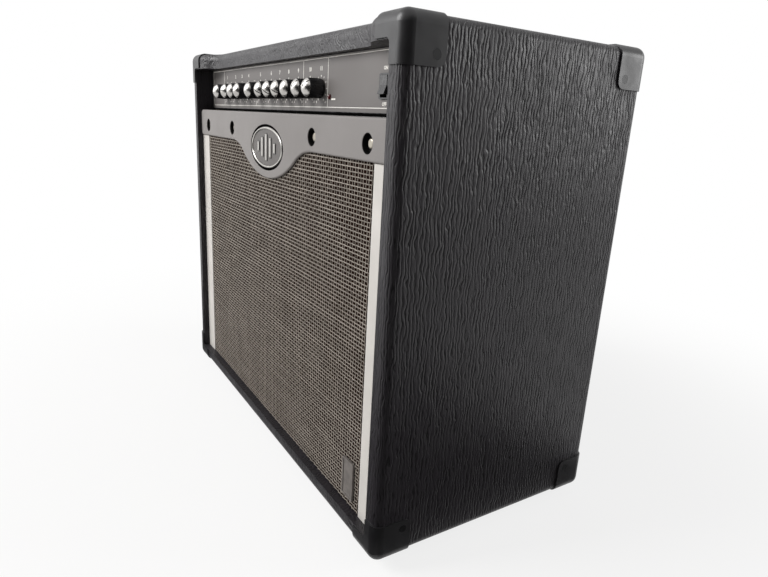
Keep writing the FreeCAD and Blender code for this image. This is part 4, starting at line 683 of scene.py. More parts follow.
    def extras(self) -> dict[str, Finish]:
        """Finishes that only new pieces wear."""
        return {
            # The same cloth turned on the top and bottom boards, where its wrinkles curl every way; its
            # creases are painted darker as painted shade.
            "curly_vinyl": GrainedVinyl("embossed_pvc_cloth_across", "#232024", "#0d0b0d", 0.44, ior=1.45,
                                        grain_mm=0.8, relief_mm=0.4, rough_spread=0.05, bare=INSIDE,
                                        wrinkle_mm=5.5, across=(1.0, 0.5, 0.5), lengthen=(1.3, 1.0, 1.0),
                                        waver=(7.0, 2.0)),
            # Horizontal yarns: fuller and a little lighter, they make the bright rows of the cloth.
            "weft": Yarn("beige_grey_polyester_weft", "#9c9389", "#675f56", 0.8, sheen=0.1, grain_mm=0.35,
                         relief_mm=0.15, run=Run.ALONG_X, pitch_mm=4.05),
            # Upright yarns: thinner and a little browner.
            "warp": Yarn("brown_grey_polyester_warp", "#968d82", "#625a51", 0.85, sheen=0.1,
                         grain_mm=0.35, relief_mm=0.15, run=Run.ALONG_Z, pitch_mm=4.88),
            # Die-cast plate, painted warm dark grey: satin, rubbed paler in patches.
            "small_plate": Finish("grey_painted_zinc_casting", "#67625f", "#76716d", 0.4, grain_mm=0.4,
                                  relief_mm=0.02, patch_mm=9.0),
            # Painted shade for gaps: black, and so matt that it looks like a gap.
            "gap_shade": Finish("black_gap_shade", "#080808", "#0c0c0c", 1.0, ior=1.05, rough_spread=0.0,
                           grain_mm=0.8, relief_mm=0.1),
            # Painted shadow round the emblem's raised bars: black and dull.
            "bar_shadow_fill": Finish("black_painted_bar_shadow", "#121112", "#1b1a1b", 0.6, grain_mm=0.4,
                                 relief_mm=0.01),
            # Screen ink: flat warm white, thin and a little uneven.
            "ink": Finish("white_screen_ink", "#e6e3dc", "#d8d5ce", 0.6, grain_mm=0.3, relief_mm=0.01,
                          patch_mm=8.0),
            # Spun aluminium cap: bright, turned on a lathe and lacquered.
            "cap": Finish("bright_spun_aluminium", "#c6c3bf", "#b6b3af", 0.27, metallic=1.0,
                          grain_mm=0.4, relief_mm=0.01, patch_mm=10.0, rough_spread=0.04),
            # Bonded nylon thread: pale grey stitches along the strap.
            "stitch": Finish("bonded_nylon_thread", "#5b5955", "#474541", 0.6, grain_mm=0.3,
                             relief_mm=0.05, patch_mm=5.0),
        }

    def get(self, key: str) -> Material:
        """The built material for a slot or an extra finish, made once."""
        if key not in self.made:
            self.made[key] = {**self.slots(), **self.extras()}[key].material()
        return self.made[key]

    def dress_nodes(self) -> int:
        """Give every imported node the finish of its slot.

        Returns:
            How many nodes were dressed.
        """
        turned = {"top_panel": "curly_vinyl", "bottom_panel": "curly_vinyl", "grille_plate": "small_plate"}
        for row in frame["record"]["subparts"]:
            obj = frame["nodes"][row["node"]]
            obj.data.materials.clear()
            obj.data.materials.append(self.get(turned.get(row["node"], row["material_slot"])))
        return len(frame["record"]["subparts"])


# ---------------------------------------------------------------- sub-assemblies


@dataclass
class GrilleCloth:
    """The open woven cloth over the baffle: real yarns over a dark scrim."""

    finishes: Finishes
    half_width: float = 238.5
    low_z: float = 30.0
    yarn_top_z: float = 377.5
    sheet_top_z: float = 408.5
    weft_pitch: float = 4.05
    warp_pitch: float = 4.88
    middle_y: float = -130.55
    swing: float = 0.34
    weft_half: tuple = (0.56, 0.33)
    warp_half: tuple = (0.52, 0.3)
    scrim_y: tuple = (-129.88, -129.82)
    steps_per_cell: int = 3
    sides: int = 6
    cup_x: tuple = (-232.0, -123.0, 123.0, 232.0)
    cup_z: float = 390.0
    cup_clear_r: float = 12.5
    cell: float = 5.3
    wander_mm: float = 0.11
    wander_knots: int = 6
    yarn_spread: float = 0.05
    slub_spread: float = 0.035
    end_reach: tuple = (-1.3, 0.9)
    seed: int = 11

    def yarns(self, along: float, start: float, across: np.ndarray, pitch: float, half: tuple,
              phase: int, rng: np.random.Generator) -> tuple:
        """Tubes that weave over and under, for one set of yarns.

        Args:
            along: The yarns' length.
            start: Where they start along their own run.
            across: The place of each yarn across the run.
            pitch: The pitch of the yarns that they cross.
            half: Half the yarn's width and half its thickness.
            phase: 1 for the set that starts in front, -1 for the other.
            rng: The seeded source of small differences.

        Returns:
            Along, across and depth values for each yarn, ring and side, and the faces.
        """
        count = int(round(along / pitch * self.steps_per_cell)) + 1
        place = np.linspace(0, along, count)
        wave = np.cos(math.pi * place / pitch)
        signs = phase * (-1.0) ** np.arange(len(across))
        drift = rng.normal(0, self.wander_mm, (len(across), self.wander_knots))
        knots = np.linspace(0, along, self.wander_knots)
        wander = np.array([np.interp(place, knots, row) for row in drift])
        fat = (rng.normal(1.0, self.yarn_spread, (len(across), 1))
               + rng.normal(0, self.slub_spread, (len(across), count)))
        angles = np.linspace(0, TURN, self.sides, endpoint=False)
        shape = (len(across), count, self.sides)
        ends = rng.uniform(*self.end_reach, (len(across), 2))
        run = np.broadcast_to(start + place[None, :, None], shape).copy()
        run[:, 0, :] -= ends[:, :1]
        run[:, -1, :] += ends[:, 1:]
        side = (across[:, None] + wander)[:, :, None] + half[0] * fat[:, :, None] * np.cos(angles)
        depth = self.middle_y - (signs[:, None] * wave * self.swing)[:, :, None] + half[1] * np.sin(angles)
        ring = np.arange(self.sides)
        base = np.arange(count - 1) * self.sides
        quads = []
        for step in ring:
            near, far = base + step, base + (step + 1) % self.sides
            quads.append(np.stack([near, far, far + self.sides, near + self.sides], 1))
        one = np.concatenate(quads)
        total = count * self.sides
        faces = (one[None] + (np.arange(len(across)) * total)[:, None, None]).reshape(-1, 4).tolist()
        for yarn in range(len(across)):
            faces.append((ring[::-1] + yarn * total).tolist())
            faces.append((ring + yarn * total + (count - 1) * self.sides).tolist())
        return run.ravel(), side.ravel(), depth.ravel(), faces

    def scrim(self) -> Piece:
        """The dark sheet behind the yarns, cut away round the badge panel's four cups."""
        columns = int(round(2 * self.half_width / self.cell))
        rows = int(round((self.sheet_top_z - self.low_z) / self.cell))
        xs = np.linspace(-self.half_width, self.half_width, columns + 1)
        zs = np.linspace(self.low_z, self.sheet_top_z, rows + 1)
        keep = []
        for row in range(rows):
            for column in range(columns):
                x, z = (xs[column] + xs[column + 1]) / 2, (zs[row] + zs[row + 1]) / 2
                if min(math.hypot(x - cup, z - self.cup_z) for cup in self.cup_x) > self.cup_clear_r:
                    keep.append((row, column))
        points = [(x, y, z) for y in self.scrim_y for z in zs for x in xs]
        layer, faces = len(xs) * len(zs), []
        kept = set(keep)
        for row, column in keep:
            a = row * len(xs) + column
            corners = [a, a + 1, a + len(xs) + 1, a + len(xs)]
            faces.append(corners)
            faces.append([place + layer for place in corners[::-1]])
            beside = (((row - 1, column), 0, 1), ((row, column + 1), 1, 2), ((row + 1, column), 2, 3),
                      ((row, column - 1), 3, 0))
            for neighbour, first, second in beside:
                if neighbour not in kept:
                    faces.append([corners[second], corners[first], corners[first] + layer,
                                  corners[second] + layer])
        made = piece("grille_scrim", (np.array(points), faces), self.finishes.get("grille_weave"),
                     "grille_weave", smooth=False, turned=False)
        work = bmesh.new()
        work.from_mesh(made.data)
        bmesh.ops.delete(work, geom=[v for v in work.verts if not v.link_faces], context="VERTS")
        work.to_mesh(made.data)
        work.free()
        return made

    def build(self) -> list[Piece]:
        rng = np.random.default_rng(self.seed)
        scrim = self.scrim()
        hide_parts("grille_cloth")
        weft_z = np.arange(self.low_z + self.weft_pitch / 2, self.yarn_top_z - 1, self.weft_pitch)
        warp_x = np.arange(-self.half_width + self.warp_pitch / 2, self.half_width - 1, self.warp_pitch)
        height = self.yarn_top_z - self.low_z
        sets = (("weft", weft_z, 2 * self.half_width, -self.half_width, self.warp_pitch, self.weft_half, 1),
                ("warp", warp_x, height, self.low_z, self.weft_pitch, self.warp_half, -1))
        threads = []
        for kind, across, along, start, pitch, half, first in sets:
            for number, part in enumerate(np.array_split(np.arange(len(across)), 2)):
                phase = first if part[0] % 2 == 0 else -first
                run, side, depth, faces = self.yarns(along, start, across[part], pitch, half, phase, rng)
                if kind == "weft":
                    points = np.stack([run, depth, side], 1)
                else:
                    points, faces = np.stack([side, depth, run], 1), [face[::-1] for face in faces]
                threads.append(piece(f"grille_{kind}_{number + 1}", (points, faces), self.finishes.get(kind),
                                     "grille_weave"))
        return [scrim, *threads]


@dataclass
class TrimStrips:
    """The two pale strips beside the cloth, each with a raised rounded lip along its outer edge."""

    finishes: Finishes
    near_x: float = 240.5
    far_x: float = 269.0
    back_y: float = -129.8
    face_y: float = -131.4
    lip_y: float = -132.0
    lip_width: float = 3.4
    low_z: float = 30.0
    high_z: float = 374.5
    rows: int = 40

    def build(self) -> Piece:
        """Sweep the strip's section up both sides."""
        lip = self.far_x - self.lip_width
        section = [(self.near_x, self.back_y), (self.near_x, self.face_y + 0.5),
                   (self.near_x + 0.25, self.face_y + 0.15), (self.near_x + 0.7, self.face_y),
                   (lip - 0.9, self.face_y), (lip - 0.3, self.face_y - 0.15),
                   (lip + 0.3, self.lip_y + 0.1), (lip + 1.0, self.lip_y), (self.far_x - 0.9, self.lip_y),
                   (self.far_x - 0.25, self.lip_y + 0.2), (self.far_x, self.lip_y + 0.8),
                   (self.far_x, self.back_y)]
        levels = np.linspace(self.low_z, self.high_z, self.rows)
        strips = [loft([[(side * x, y, z) for x, y in section] for z in levels]) for side in (-1, 1)]
        made = piece("trim_strips", merged(strips), self.finishes.get("pale_trim"), "pale_trim", sharp=40)
        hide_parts("grille_trim_strips")
        return made


@dataclass
class Emblem:
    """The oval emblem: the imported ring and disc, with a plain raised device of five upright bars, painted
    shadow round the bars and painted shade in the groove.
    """

    finishes: Finishes
    centre_z: float = 372.3
    disc_y: float = -133.2
    height: float = 1.0
    bar_x: tuple = (-25.0, -12.5, 0.0, 12.5, 25.0)
    bar_rise: tuple = (5.5, 11.0, 15.0, 11.0, 5.5)
    bar_half: float = 2.6
    bevel: float = 0.5
    outline: float = 0.8
    ring_half: tuple = (48.0, 23.2)
    groove_shade_section: tuple = ((0.1, -132.25), (2.8, -132.25), (2.8, -133.1), (0.1, -133.1))
    groove_shade_steps: int = 120

    def groove_shade(self) -> Shape:
        """A black matt ring of painted shade that fills the groove between the ring and the badge panel."""
        wide, high = self.ring_half
        return loft([[((wide + reach) * math.cos(angle), y, self.centre_z + (high + reach) * math.sin(angle))
                      for reach, y in self.groove_shade_section]
                     for angle in np.linspace(0, TURN, self.groove_shade_steps, endpoint=False)], closed=True)

    def bars(self, grow: float, front_y: float, bevel: float) -> Shape:
        """Five upright bars on the disc.

        Args:
            grow: How far each bar's outline is moved out.
            front_y: The bars' front face.
            bevel: The bevel round the front face.

        Returns:
            Points and faces.
        """
        parts = []
        for x, rise in zip(self.bar_x, self.bar_rise):
            rings = []
            for y, inset in ((self.disc_y + 0.1, 0.0), (front_y + bevel, 0.0), (front_y, bevel)):
                wide, high = self.bar_half + grow - inset, rise + grow - inset
                rings.append([(x + a * wide, y, self.centre_z + b * high)
                              for a, b in ((-1, -1), (1, -1), (1, 1), (-1, 1))])
            parts.append(loft(rings))
        return merged(parts)

    def build(self) -> list[Piece]:
        """Raise the bevelled bars, each in a thin black outline of painted shadow, and fill the groove round
        the ring with black painted shade.
        """
        bright = self.bars(0.0, self.disc_y - self.height, self.bevel)
        dark = self.bars(self.outline, self.disc_y - 0.12, 0.05)
        return [piece(name, shape, self.finishes.get(finish), slot, smooth=False)
                for name, shape, finish, slot in (
                    ("emblem_bars", bright, "bright_ring", "bright_ring"),
                    ("emblem_bar_shadow_outlines", dark, "bar_shadow_fill", "dark_gloss"),
                    ("emblem_groove_shade", self.groove_shade(), "gap_shade", "badge_plastic"))]


@dataclass
class PanelGapShade:
    """A black strip of painted shade in the gap between the control panel's foot and the badge panel's
    flange.
    """

    finishes: Finishes
    half_width: float = 269.3
    low_z: float = 412.1
    radius: float = 1.35
    front_y: float = -116.4
    back_y: float = -115.02
    steps: int = 120
    swell: float = 0.12
    seed: int = 5

    def build(self) -> Piece:
        """Sweep a rounded section along the joint, swelling a little from place to place."""
        rng = np.random.default_rng(self.seed)
        rings = []
        for x in np.linspace(-self.half_width, self.half_width, self.steps):
            reach = self.radius + rng.uniform(-self.swell, self.swell)
            depth = (self.front_y - self.back_y) * reach / self.radius
            bow = [(x, self.back_y + depth * math.sin(angle), self.low_z + reach - reach * math.cos(angle))
                   for angle in np.linspace(0, math.pi, 9)]
            rings.append([(x, self.back_y, self.low_z), *bow, (x, self.back_y, self.low_z + 2 * reach)])
        return piece("panel_gap_shade", loft(rings), self.finishes.get("gap_shade"), "panel_grey")


@dataclass
class PanelPrint:
    """The control panel's white screen print: frames, ticks and plain numbers."""

    finishes: Finishes
    knob_x: tuple
    switch_x: tuple
    face_y: float = -115.0
    thickness: float = 0.06
    sunk: float = 0.02
    control_z: float = 437.0
    top_z: float = 465.7
    low_z: float = 419.2
    short_z: float = 425.0
    line: float = 0.75
    left_x: float = -262.5
    right_x: float = 266.0
    dividers: tuple = (-262.5, -212.0, -82.0, 60.5, 118.3)
    short_divider: float = -82.0
    weight: float = 0.14
    tick_r: tuple = (11.2, 13.0)
    tick_half: tuple = (0.7, 0.45)
    sweep: tuple = (-150, 30, 11)
    number: tuple = (19.0, 5.8)
    scale_ends: tuple = (("0", -9.9), ("10", 10.1))
    scale_end: tuple = (-13.0, 3.2)
    switch_mark: tuple = (1.1, 12.2, 12.8)
    lamp_mark: tuple = (126.5, 135.0, 426.0, 427.5)
    rocker_x: float = 225.2
    rocker_words: tuple = (("ON", 14.6), ("OFF", -14.6))
    rocker_size: float = 4.0
    parts: list = field(default_factory=list)

    def flat(self, corners: list) -> None:
        """Print one flat shape with the given x and z corners."""
        self.parts.append(loft([[(x, y, z) for x, z in corners]
                                for y in (self.face_y - self.thickness, self.face_y + self.sunk)]))

    def bar(self, x0: float, x1: float, z0: float, z1: float) -> None:
        """Print one straight bar."""
        self.flat([(x0, z0), (x1, z0), (x1, z1), (x0, z1)])

    def tick(self, x: float, z: float, angle: float, near: float, far: float, half: float) -> None:
        """Print one short tick that points away from a control.

        Args:
            x: The control's x.
            z: The control's z.
            angle: The tick's angle in degrees, clockwise from the top.
            near: The tick's inner radius.
            far: The tick's outer radius.
            half: Half its width.
        """
        turn = math.radians(angle)
        out = np.array([math.sin(turn), math.cos(turn)])
        across = np.array([out[1], -out[0]])
        self.flat([np.array((x, z)) + out * reach + across * side for reach, side in
                   ((near, -half), (near, half), (far, half), (far, -half))])

    def write(self, words: str, x: float, z: float, size: float) -> None:
        """Print plain characters, centred.

        Args:
            words: The characters.
            x: The middle's x.
            z: The middle's z.
            size: The characters' size in millimetres.
        """
        curve = bpy.data.curves.new("print_text", "FONT")
        curve.body, curve.size = words, size
        curve.align_x, curve.align_y = "CENTER", "CENTER"
        curve.extrude = self.thickness / 2
        curve.offset = self.weight
        curve.resolution_u = 3
        holder = linked("print_text", curve)
        bpy.context.view_layer.update()
        mesh = bpy.data.meshes.new_from_object(holder)
        flat = np.array([v.co for v in mesh.vertices]).reshape(-1, 3)
        depth = self.face_y - self.thickness / 2 - flat[:, 2]
        points = np.stack([x + flat[:, 0], depth, z + flat[:, 1]], 1)
        self.parts.append((points, [list(face.vertices) for face in mesh.polygons]))
        bpy.data.objects.remove(holder)
        bpy.data.meshes.remove(mesh)

    def build(self) -> Piece:
        """Print the frames, the scales, the numbers and the switch's marks."""
        half, level = self.line / 2, self.control_z
        for z in (self.top_z, self.low_z):
            self.bar(self.left_x, self.right_x, z - half, z + half)
        for x in self.dividers:
            self.bar(x - half, x + half, self.low_z, self.short_z if x == self.short_divider else self.top_z)
        first, step, count = self.sweep
        for number, x in enumerate(self.knob_x):
            for mark in range(count):
                self.tick(x, level, first + step * mark, *self.tick_r, self.tick_half[1 if mark % 5 else 0])
            self.write(str(number + 1), x, level + self.number[0], self.number[1])
            for word, aside in self.scale_ends:
                self.write(word, x + aside, level + self.scale_end[0], self.scale_end[1])
        wide, near, far = self.switch_mark
        for x in self.switch_x:
            self.bar(x - wide, x + wide, level + near, level + far)
            self.bar(x - wide, x + wide, level - far, level - near)
        self.bar(*self.lamp_mark)
        for word, rise in self.rocker_words:
            self.write(word, self.rocker_x, level + rise, self.rocker_size)
        return piece("panel_print", merged(self.parts), self.finishes.get("ink"), "panel_grey", smooth=False,
                     turned=False)


@dataclass
class Knob:
    """One fluted black knob with a bright domed cap and a black pointer across it."""

    finishes: Finishes
    index: int
    x: float
    z: float
    rest_angle: float
    back_y: float = -115.8
    crown_y: float = -131.3
    dome: float = 5.0
    base_r: float = 9.8
    top_r: float = 9.3
    flutes: int = 30
    flute_depth: float = 0.32
    cap_r: float = 9.1
    pointer_half: float = 0.62

    def ripple(self, angle: float, radius: float) -> float:
        """The body's radius with its flutes cut in."""
        if radius < self.top_r - 0.35:
            return radius
        wave = 0.5 + 0.5 * math.cos(angle * self.flutes)
        return radius - self.flute_depth * (1 - wave ** 2)

    def body(self) -> Shape:
        """The fluted body, from a plain foot ring up to the cap's seat."""
        base, top, back, crown = self.base_r, self.top_r, self.back_y, self.crown_y
        profile = [(3.2, back), (base - 0.9, back), (base - 0.45, back - 0.15), (base - 0.05, back - 0.7),
                   (base - 0.1, crown + 9.0), (top + 0.05, crown + 1.0), (top - 0.1, crown + 0.35),
                   (top - 0.4, crown + 0.02), (self.cap_r - 0.1, crown + 0.02), (3.0, crown + 0.6)]
        return lathe(profile, (self.x, self.z), 8 * self.flutes, self.ripple)

    def dome_y(self, radius: float) -> float:
        """The dome's depth at a radius."""
        bow = (self.cap_r ** 2 + self.dome ** 2) / (2 * self.dome)
        return self.crown_y - (math.sqrt(bow ** 2 - radius ** 2) - (bow - self.dome)) + 0.12

    def pointer(self) -> Shape:
        """A thin raised line that follows the dome from near its middle to its rim."""
        turn = math.radians(self.rest_angle)
        along, aside = math.sin(turn), math.cos(turn)
        section = ((-1, 0.3), (1, 0.3), (1, -0.12), (-0.6, -0.16), (-1, -0.12))
        rings = []
        for step in range(9):
            radius = 1.2 + (self.cap_r - 1.25) * step / 8
            rings.append([(self.x + along * radius + aside * side * self.pointer_half,
                           self.dome_y(radius) + lift,
                           self.z + aside * radius - along * side * self.pointer_half)
                          for side, lift in section])
        return loft(rings)

    def cap(self) -> Shape:
        """The domed cap, down to the seat that holds it."""
        radii = [self.cap_r * math.sin(math.pi / 2 * (1 - step / 12)) for step in range(12)]
        profile = [(self.cap_r - 0.5, self.crown_y + 0.5), (self.cap_r, self.crown_y + 0.35)]
        profile += [(radius, self.dome_y(radius)) for radius in radii] + [(0.02, self.dome_y(0.0))]
        return lathe(profile, (self.x, self.z), 64)

    def build(self) -> list[Piece]:
        """Make the body with its pointer, and the cap, on the knob's own body."""
        name = f"knob_{self.index:02d}"
        skirt = piece(name + "_skirt", merged([self.body(), self.pointer()]),
                      self.finishes.get("knob_plastic"), "knob_plastic", name, sharp=50)
        cap = piece(name + "_cap", self.cap(), self.finishes.get("cap"), "knob_plastic", name)
        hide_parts(name)
        return [skirt, cap]


@dataclass
class Handle:
    """The strap handle: two flexible ends with stitched edges, and a moulded grip between them."""

    finishes: Finishes
    grip_half: float = 60.0
    grip_z: float = 503.0
    grip_t: float = 10.0
    grip_half_w: float = 14.0
    strap_half_w: float = 13.0
    strap_t: float = 5.0
    strap_end_x: float = 60.3
    cap_x: float = 96.3
    tail_x: float = 114.0
    strap_z: float = 493.0
    rib_pitch: float = 6.0
    rib_depth: float = 0.35
    stitch_pitch: float = 4.3
    stitch_length: float = 3.1
    stitch_y: float = 10.4
    stitch_half: tuple = (0.38, 0.3)

    def strap_level(self, x: float) -> float:
        """The strap's underside at a distance from the middle."""
        start_z = self.grip_z + (self.grip_t - self.strap_t) / 2
        if x >= self.cap_x:
            return self.strap_z
        share = min(max((x - self.strap_end_x) / (self.cap_x - self.strap_end_x), 0.0), 1.0)
        ease = 0.5 - 0.5 * math.cos(math.pi * share)
        return start_z + (self.strap_z - start_z) * ease

    def strap(self, side: int) -> Shape:
        """One end of the strap, crowned across and rounded at its edges."""
        rings = []
        for x in np.linspace(self.strap_end_x, self.tail_x, 37):
            low = self.strap_level(x)
            rings.append([(side * x, self.strap_half_w * wide, low + self.strap_t / 2 * (1 + high))
                          for wide, high in rounded(20, 0.35, 0.6)])
        return loft(rings)

    def stitches(self, side: int) -> Shape:
        """A row of short stitches along both edges of one strap end."""
        parts, (wide, high) = [], self.stitch_half
        for edge in (-1, 1):
            x = self.strap_end_x + 3.0
            while x < self.cap_x - 4.0:
                rings = []
                for share in np.linspace(0, 1, 5):
                    at = x + self.stitch_length * share
                    top = self.strap_level(at) + self.strap_t - 0.22 + wide * math.sin(math.pi * share)
                    rings.append([(side * at, edge * self.stitch_y + wide * math.cos(TURN * k / 6),
                                   top + high * math.sin(TURN * k / 6)) for k in range(6)])
                parts.append(loft(rings))
                x += self.stitch_pitch
        return merged(parts)

    def grip(self) -> Shape:
        """The moulded grip: full in its middle, drawn in at its ends, with shallow finger ribs below."""
        rings = []
        for x in np.linspace(-self.grip_half, self.grip_half, 81):
            end = min((self.grip_half - abs(x)) / 7.0, 1.0)
            full = 0.86 + 0.14 * math.sqrt(max(0.0, 1 - (1 - end) ** 2))
            rib = self.rib_depth * (0.5 - 0.5 * math.cos(TURN * x / self.rib_pitch)) * end
            rings.append([(x, self.grip_half_w * full * wide, self.grip_z + self.grip_t / 2
                           + (self.grip_t / 2 * full - (rib if high < -0.2 else 0.0)) * high)
                          for wide, high in rounded(28, 0.55, 0.75)])
        return loft(rings)

    def build(self) -> list[Piece]:
        """Make the grip and both strap ends."""
        vinyl = self.finishes.get("strap_vinyl")
        grip = piece("handle_grip_moulding", self.grip(), vinyl, "strap_vinyl", Body.GRIP.value)
        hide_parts("handle_grip")
        made = [grip]
        for side, word in ((-1, "left"), (1, "right")):
            band = piece(f"handle_strap_{word}", self.strap(side), vinyl, "strap_vinyl", None)
            seam = piece(f"handle_stitching_{word}", self.stitches(side), self.finishes.get("stitch"),
                         "strap_vinyl", None)
            for soft in (band, seam):
                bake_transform(soft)
                made.append(soft)
        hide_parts("handle_strap")
        return made


@dataclass
class SoftRings:
    """The loudspeaker's soft surround and spider, in sectors between the frame and the cone."""

    finishes: Finishes
    centre_z: float = 215.0
    sectors: int = 12
    steps: int = 6
    surround_y: float = -115.1
    surround_r: tuple = (120.3, 137.0)
    flange: float = 5.0
    thick: float = 0.9
    spider_y: float = -64.1
    spider_r: tuple = (21.1, 83.7)
    spider_flat: float = 6.0
    spider_t: float = 1.0
    waves: int = 6

    def surround_profile(self) -> list[tuple[float, float]]:
        """The half roll and its flange, as a closed section of radius and y."""
        inner, outer = self.surround_r
        roll = (outer - self.flange - inner) / 2
        middle, flat = inner + roll, self.surround_y - self.thick
        front, back = [(outer, flat)], [(outer, self.surround_y)]
        for step in range(13):
            angle = math.pi * step / 12
            front.append((middle + roll * math.cos(angle), flat - roll * math.sin(angle)))
            back.append((middle + (roll - self.thick) * math.cos(angle),
                         self.surround_y - (roll - self.thick) * math.sin(angle)))
        return front + back[::-1]

    def spider_profile(self) -> list[tuple[float, float]]:
        """The corrugated disc, as a closed section of radius and y."""
        inner, outer = self.spider_r
        edge = outer - self.spider_flat
        front = [(outer, self.spider_y)]
        count = 12 * self.waves
        for step in range(count + 1):
            radius = edge - (edge - inner) * step / count
            lift = 0.75 * (1 - math.cos(2 * math.pi * step / 12)) * (0 if step in (0, count) else 1)
            front.append((radius, self.spider_y - lift))
        return front + [(radius, y + self.spider_t) for radius, y in reversed(front)]

    def sector(self, profile: list, number: int) -> Shape:
        """One sector of a turned section, closed at both of its cut faces."""
        start = TURN * number / self.sectors
        angles = [start + TURN / self.sectors * step / self.steps for step in range(self.steps + 1)]
        return loft([[(radius * math.sin(angle), y, self.centre_z + radius * math.cos(angle))
                      for radius, y in profile] for angle in angles])

    def ring(self, name: str, profile: list, limits: tuple, slot: str, node: str) -> list[Piece]:
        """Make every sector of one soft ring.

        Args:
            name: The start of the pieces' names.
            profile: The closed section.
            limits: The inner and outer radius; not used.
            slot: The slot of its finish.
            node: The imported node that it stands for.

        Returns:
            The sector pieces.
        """
        made = []
        for number in range(self.sectors):
            one = piece(f"{name}_{number + 1:02d}", self.sector(profile, number), self.finishes.get(slot),
                        slot, None, sharp=50)
            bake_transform(one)
            made.append(one)
        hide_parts(node)
        return made

    def build(self) -> list[Piece]:
        """Make the surround and the spider."""
        made = self.ring("surround_sector", self.surround_profile(), self.surround_r, "surround_cloth",
                         "speaker_surround")
        return made + self.ring("spider_sector", self.spider_profile(), self.spider_r, "spider_cloth",
                                "speaker_spider")


@dataclass
class Lead:
    """One lead inside the cabinet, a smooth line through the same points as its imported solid."""

    finishes: Finishes
    name: str
    points: tuple
    radius: float
    plug_r: float = 0.0
    plug_l: float = 20.0

    def plug(self) -> Piece:
        """The moulded plug that stands on the tank's socket, stepped and tapered to the lead."""
        x, y, top = self.points[0]
        full, lead = self.plug_r, self.radius
        profile = [(full * 0.55, 0.0), (full - 0.3, 0.0), (full, 0.4), (full, 6.0), (full * 0.86, 6.6),
                   (full * 0.86, 12.0), (full * 0.6, 14.0), (lead + 0.5, self.plug_l - 0.4),
                   (lead + 0.1, self.plug_l)]
        angles = np.linspace(0, TURN, 28, endpoint=False)
        rings = [[(x + radius * math.cos(angle), y + radius * math.sin(angle), top - self.plug_l + rise)
                  for angle in angles] for radius, rise in profile]
        return piece(self.name + "_plug", loft(rings), self.finishes.get("black_plastic"), "lead_pvc",
                     sharp=40)

    def build(self) -> Piece:
        curve = bpy.data.curves.new(self.name, "CURVE")
        curve.dimensions = "3D"
        curve.bevel_depth = self.radius * MM
        curve.bevel_resolution = 5
        curve.use_fill_caps = True
        spline = curve.splines.new("NURBS")
        spline.points.add(len(self.points) - 1)
        for point, place in zip(spline.points, self.points):
            point.co = (place[0] * MM, place[1] * MM, place[2] * MM, 1)
        spline.order_u = 3
        spline.use_endpoint_u = True
        spline.resolution_u = 12
        made = linked(self.name, curve)
        curve.materials.append(self.finishes.get("lead_pvc"))
        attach(made, Body.CABINET.value)
        plugs = [self.plug()] if self.plug_r else []
        exit_point = [value * MM for value in self.points[0]]
        self.length(curve)
        return made

    def length(self, curve: bpy.types.Curve) -> float:
        """The smooth line's own length in metres."""
        bare = curve.copy()
        bare.bevel_depth = 0.0
        holder = linked("lead_line", bare)
        bpy.context.view_layer.update()
        mesh = bpy.data.meshes.new_from_object(holder)
        total = sum((mesh.vertices[a].co - mesh.vertices[b].co).length
                    for a, b in (edge.vertices for edge in mesh.edges))
        bpy.data.objects.remove(holder)
        bpy.data.meshes.remove(mesh)
        return total


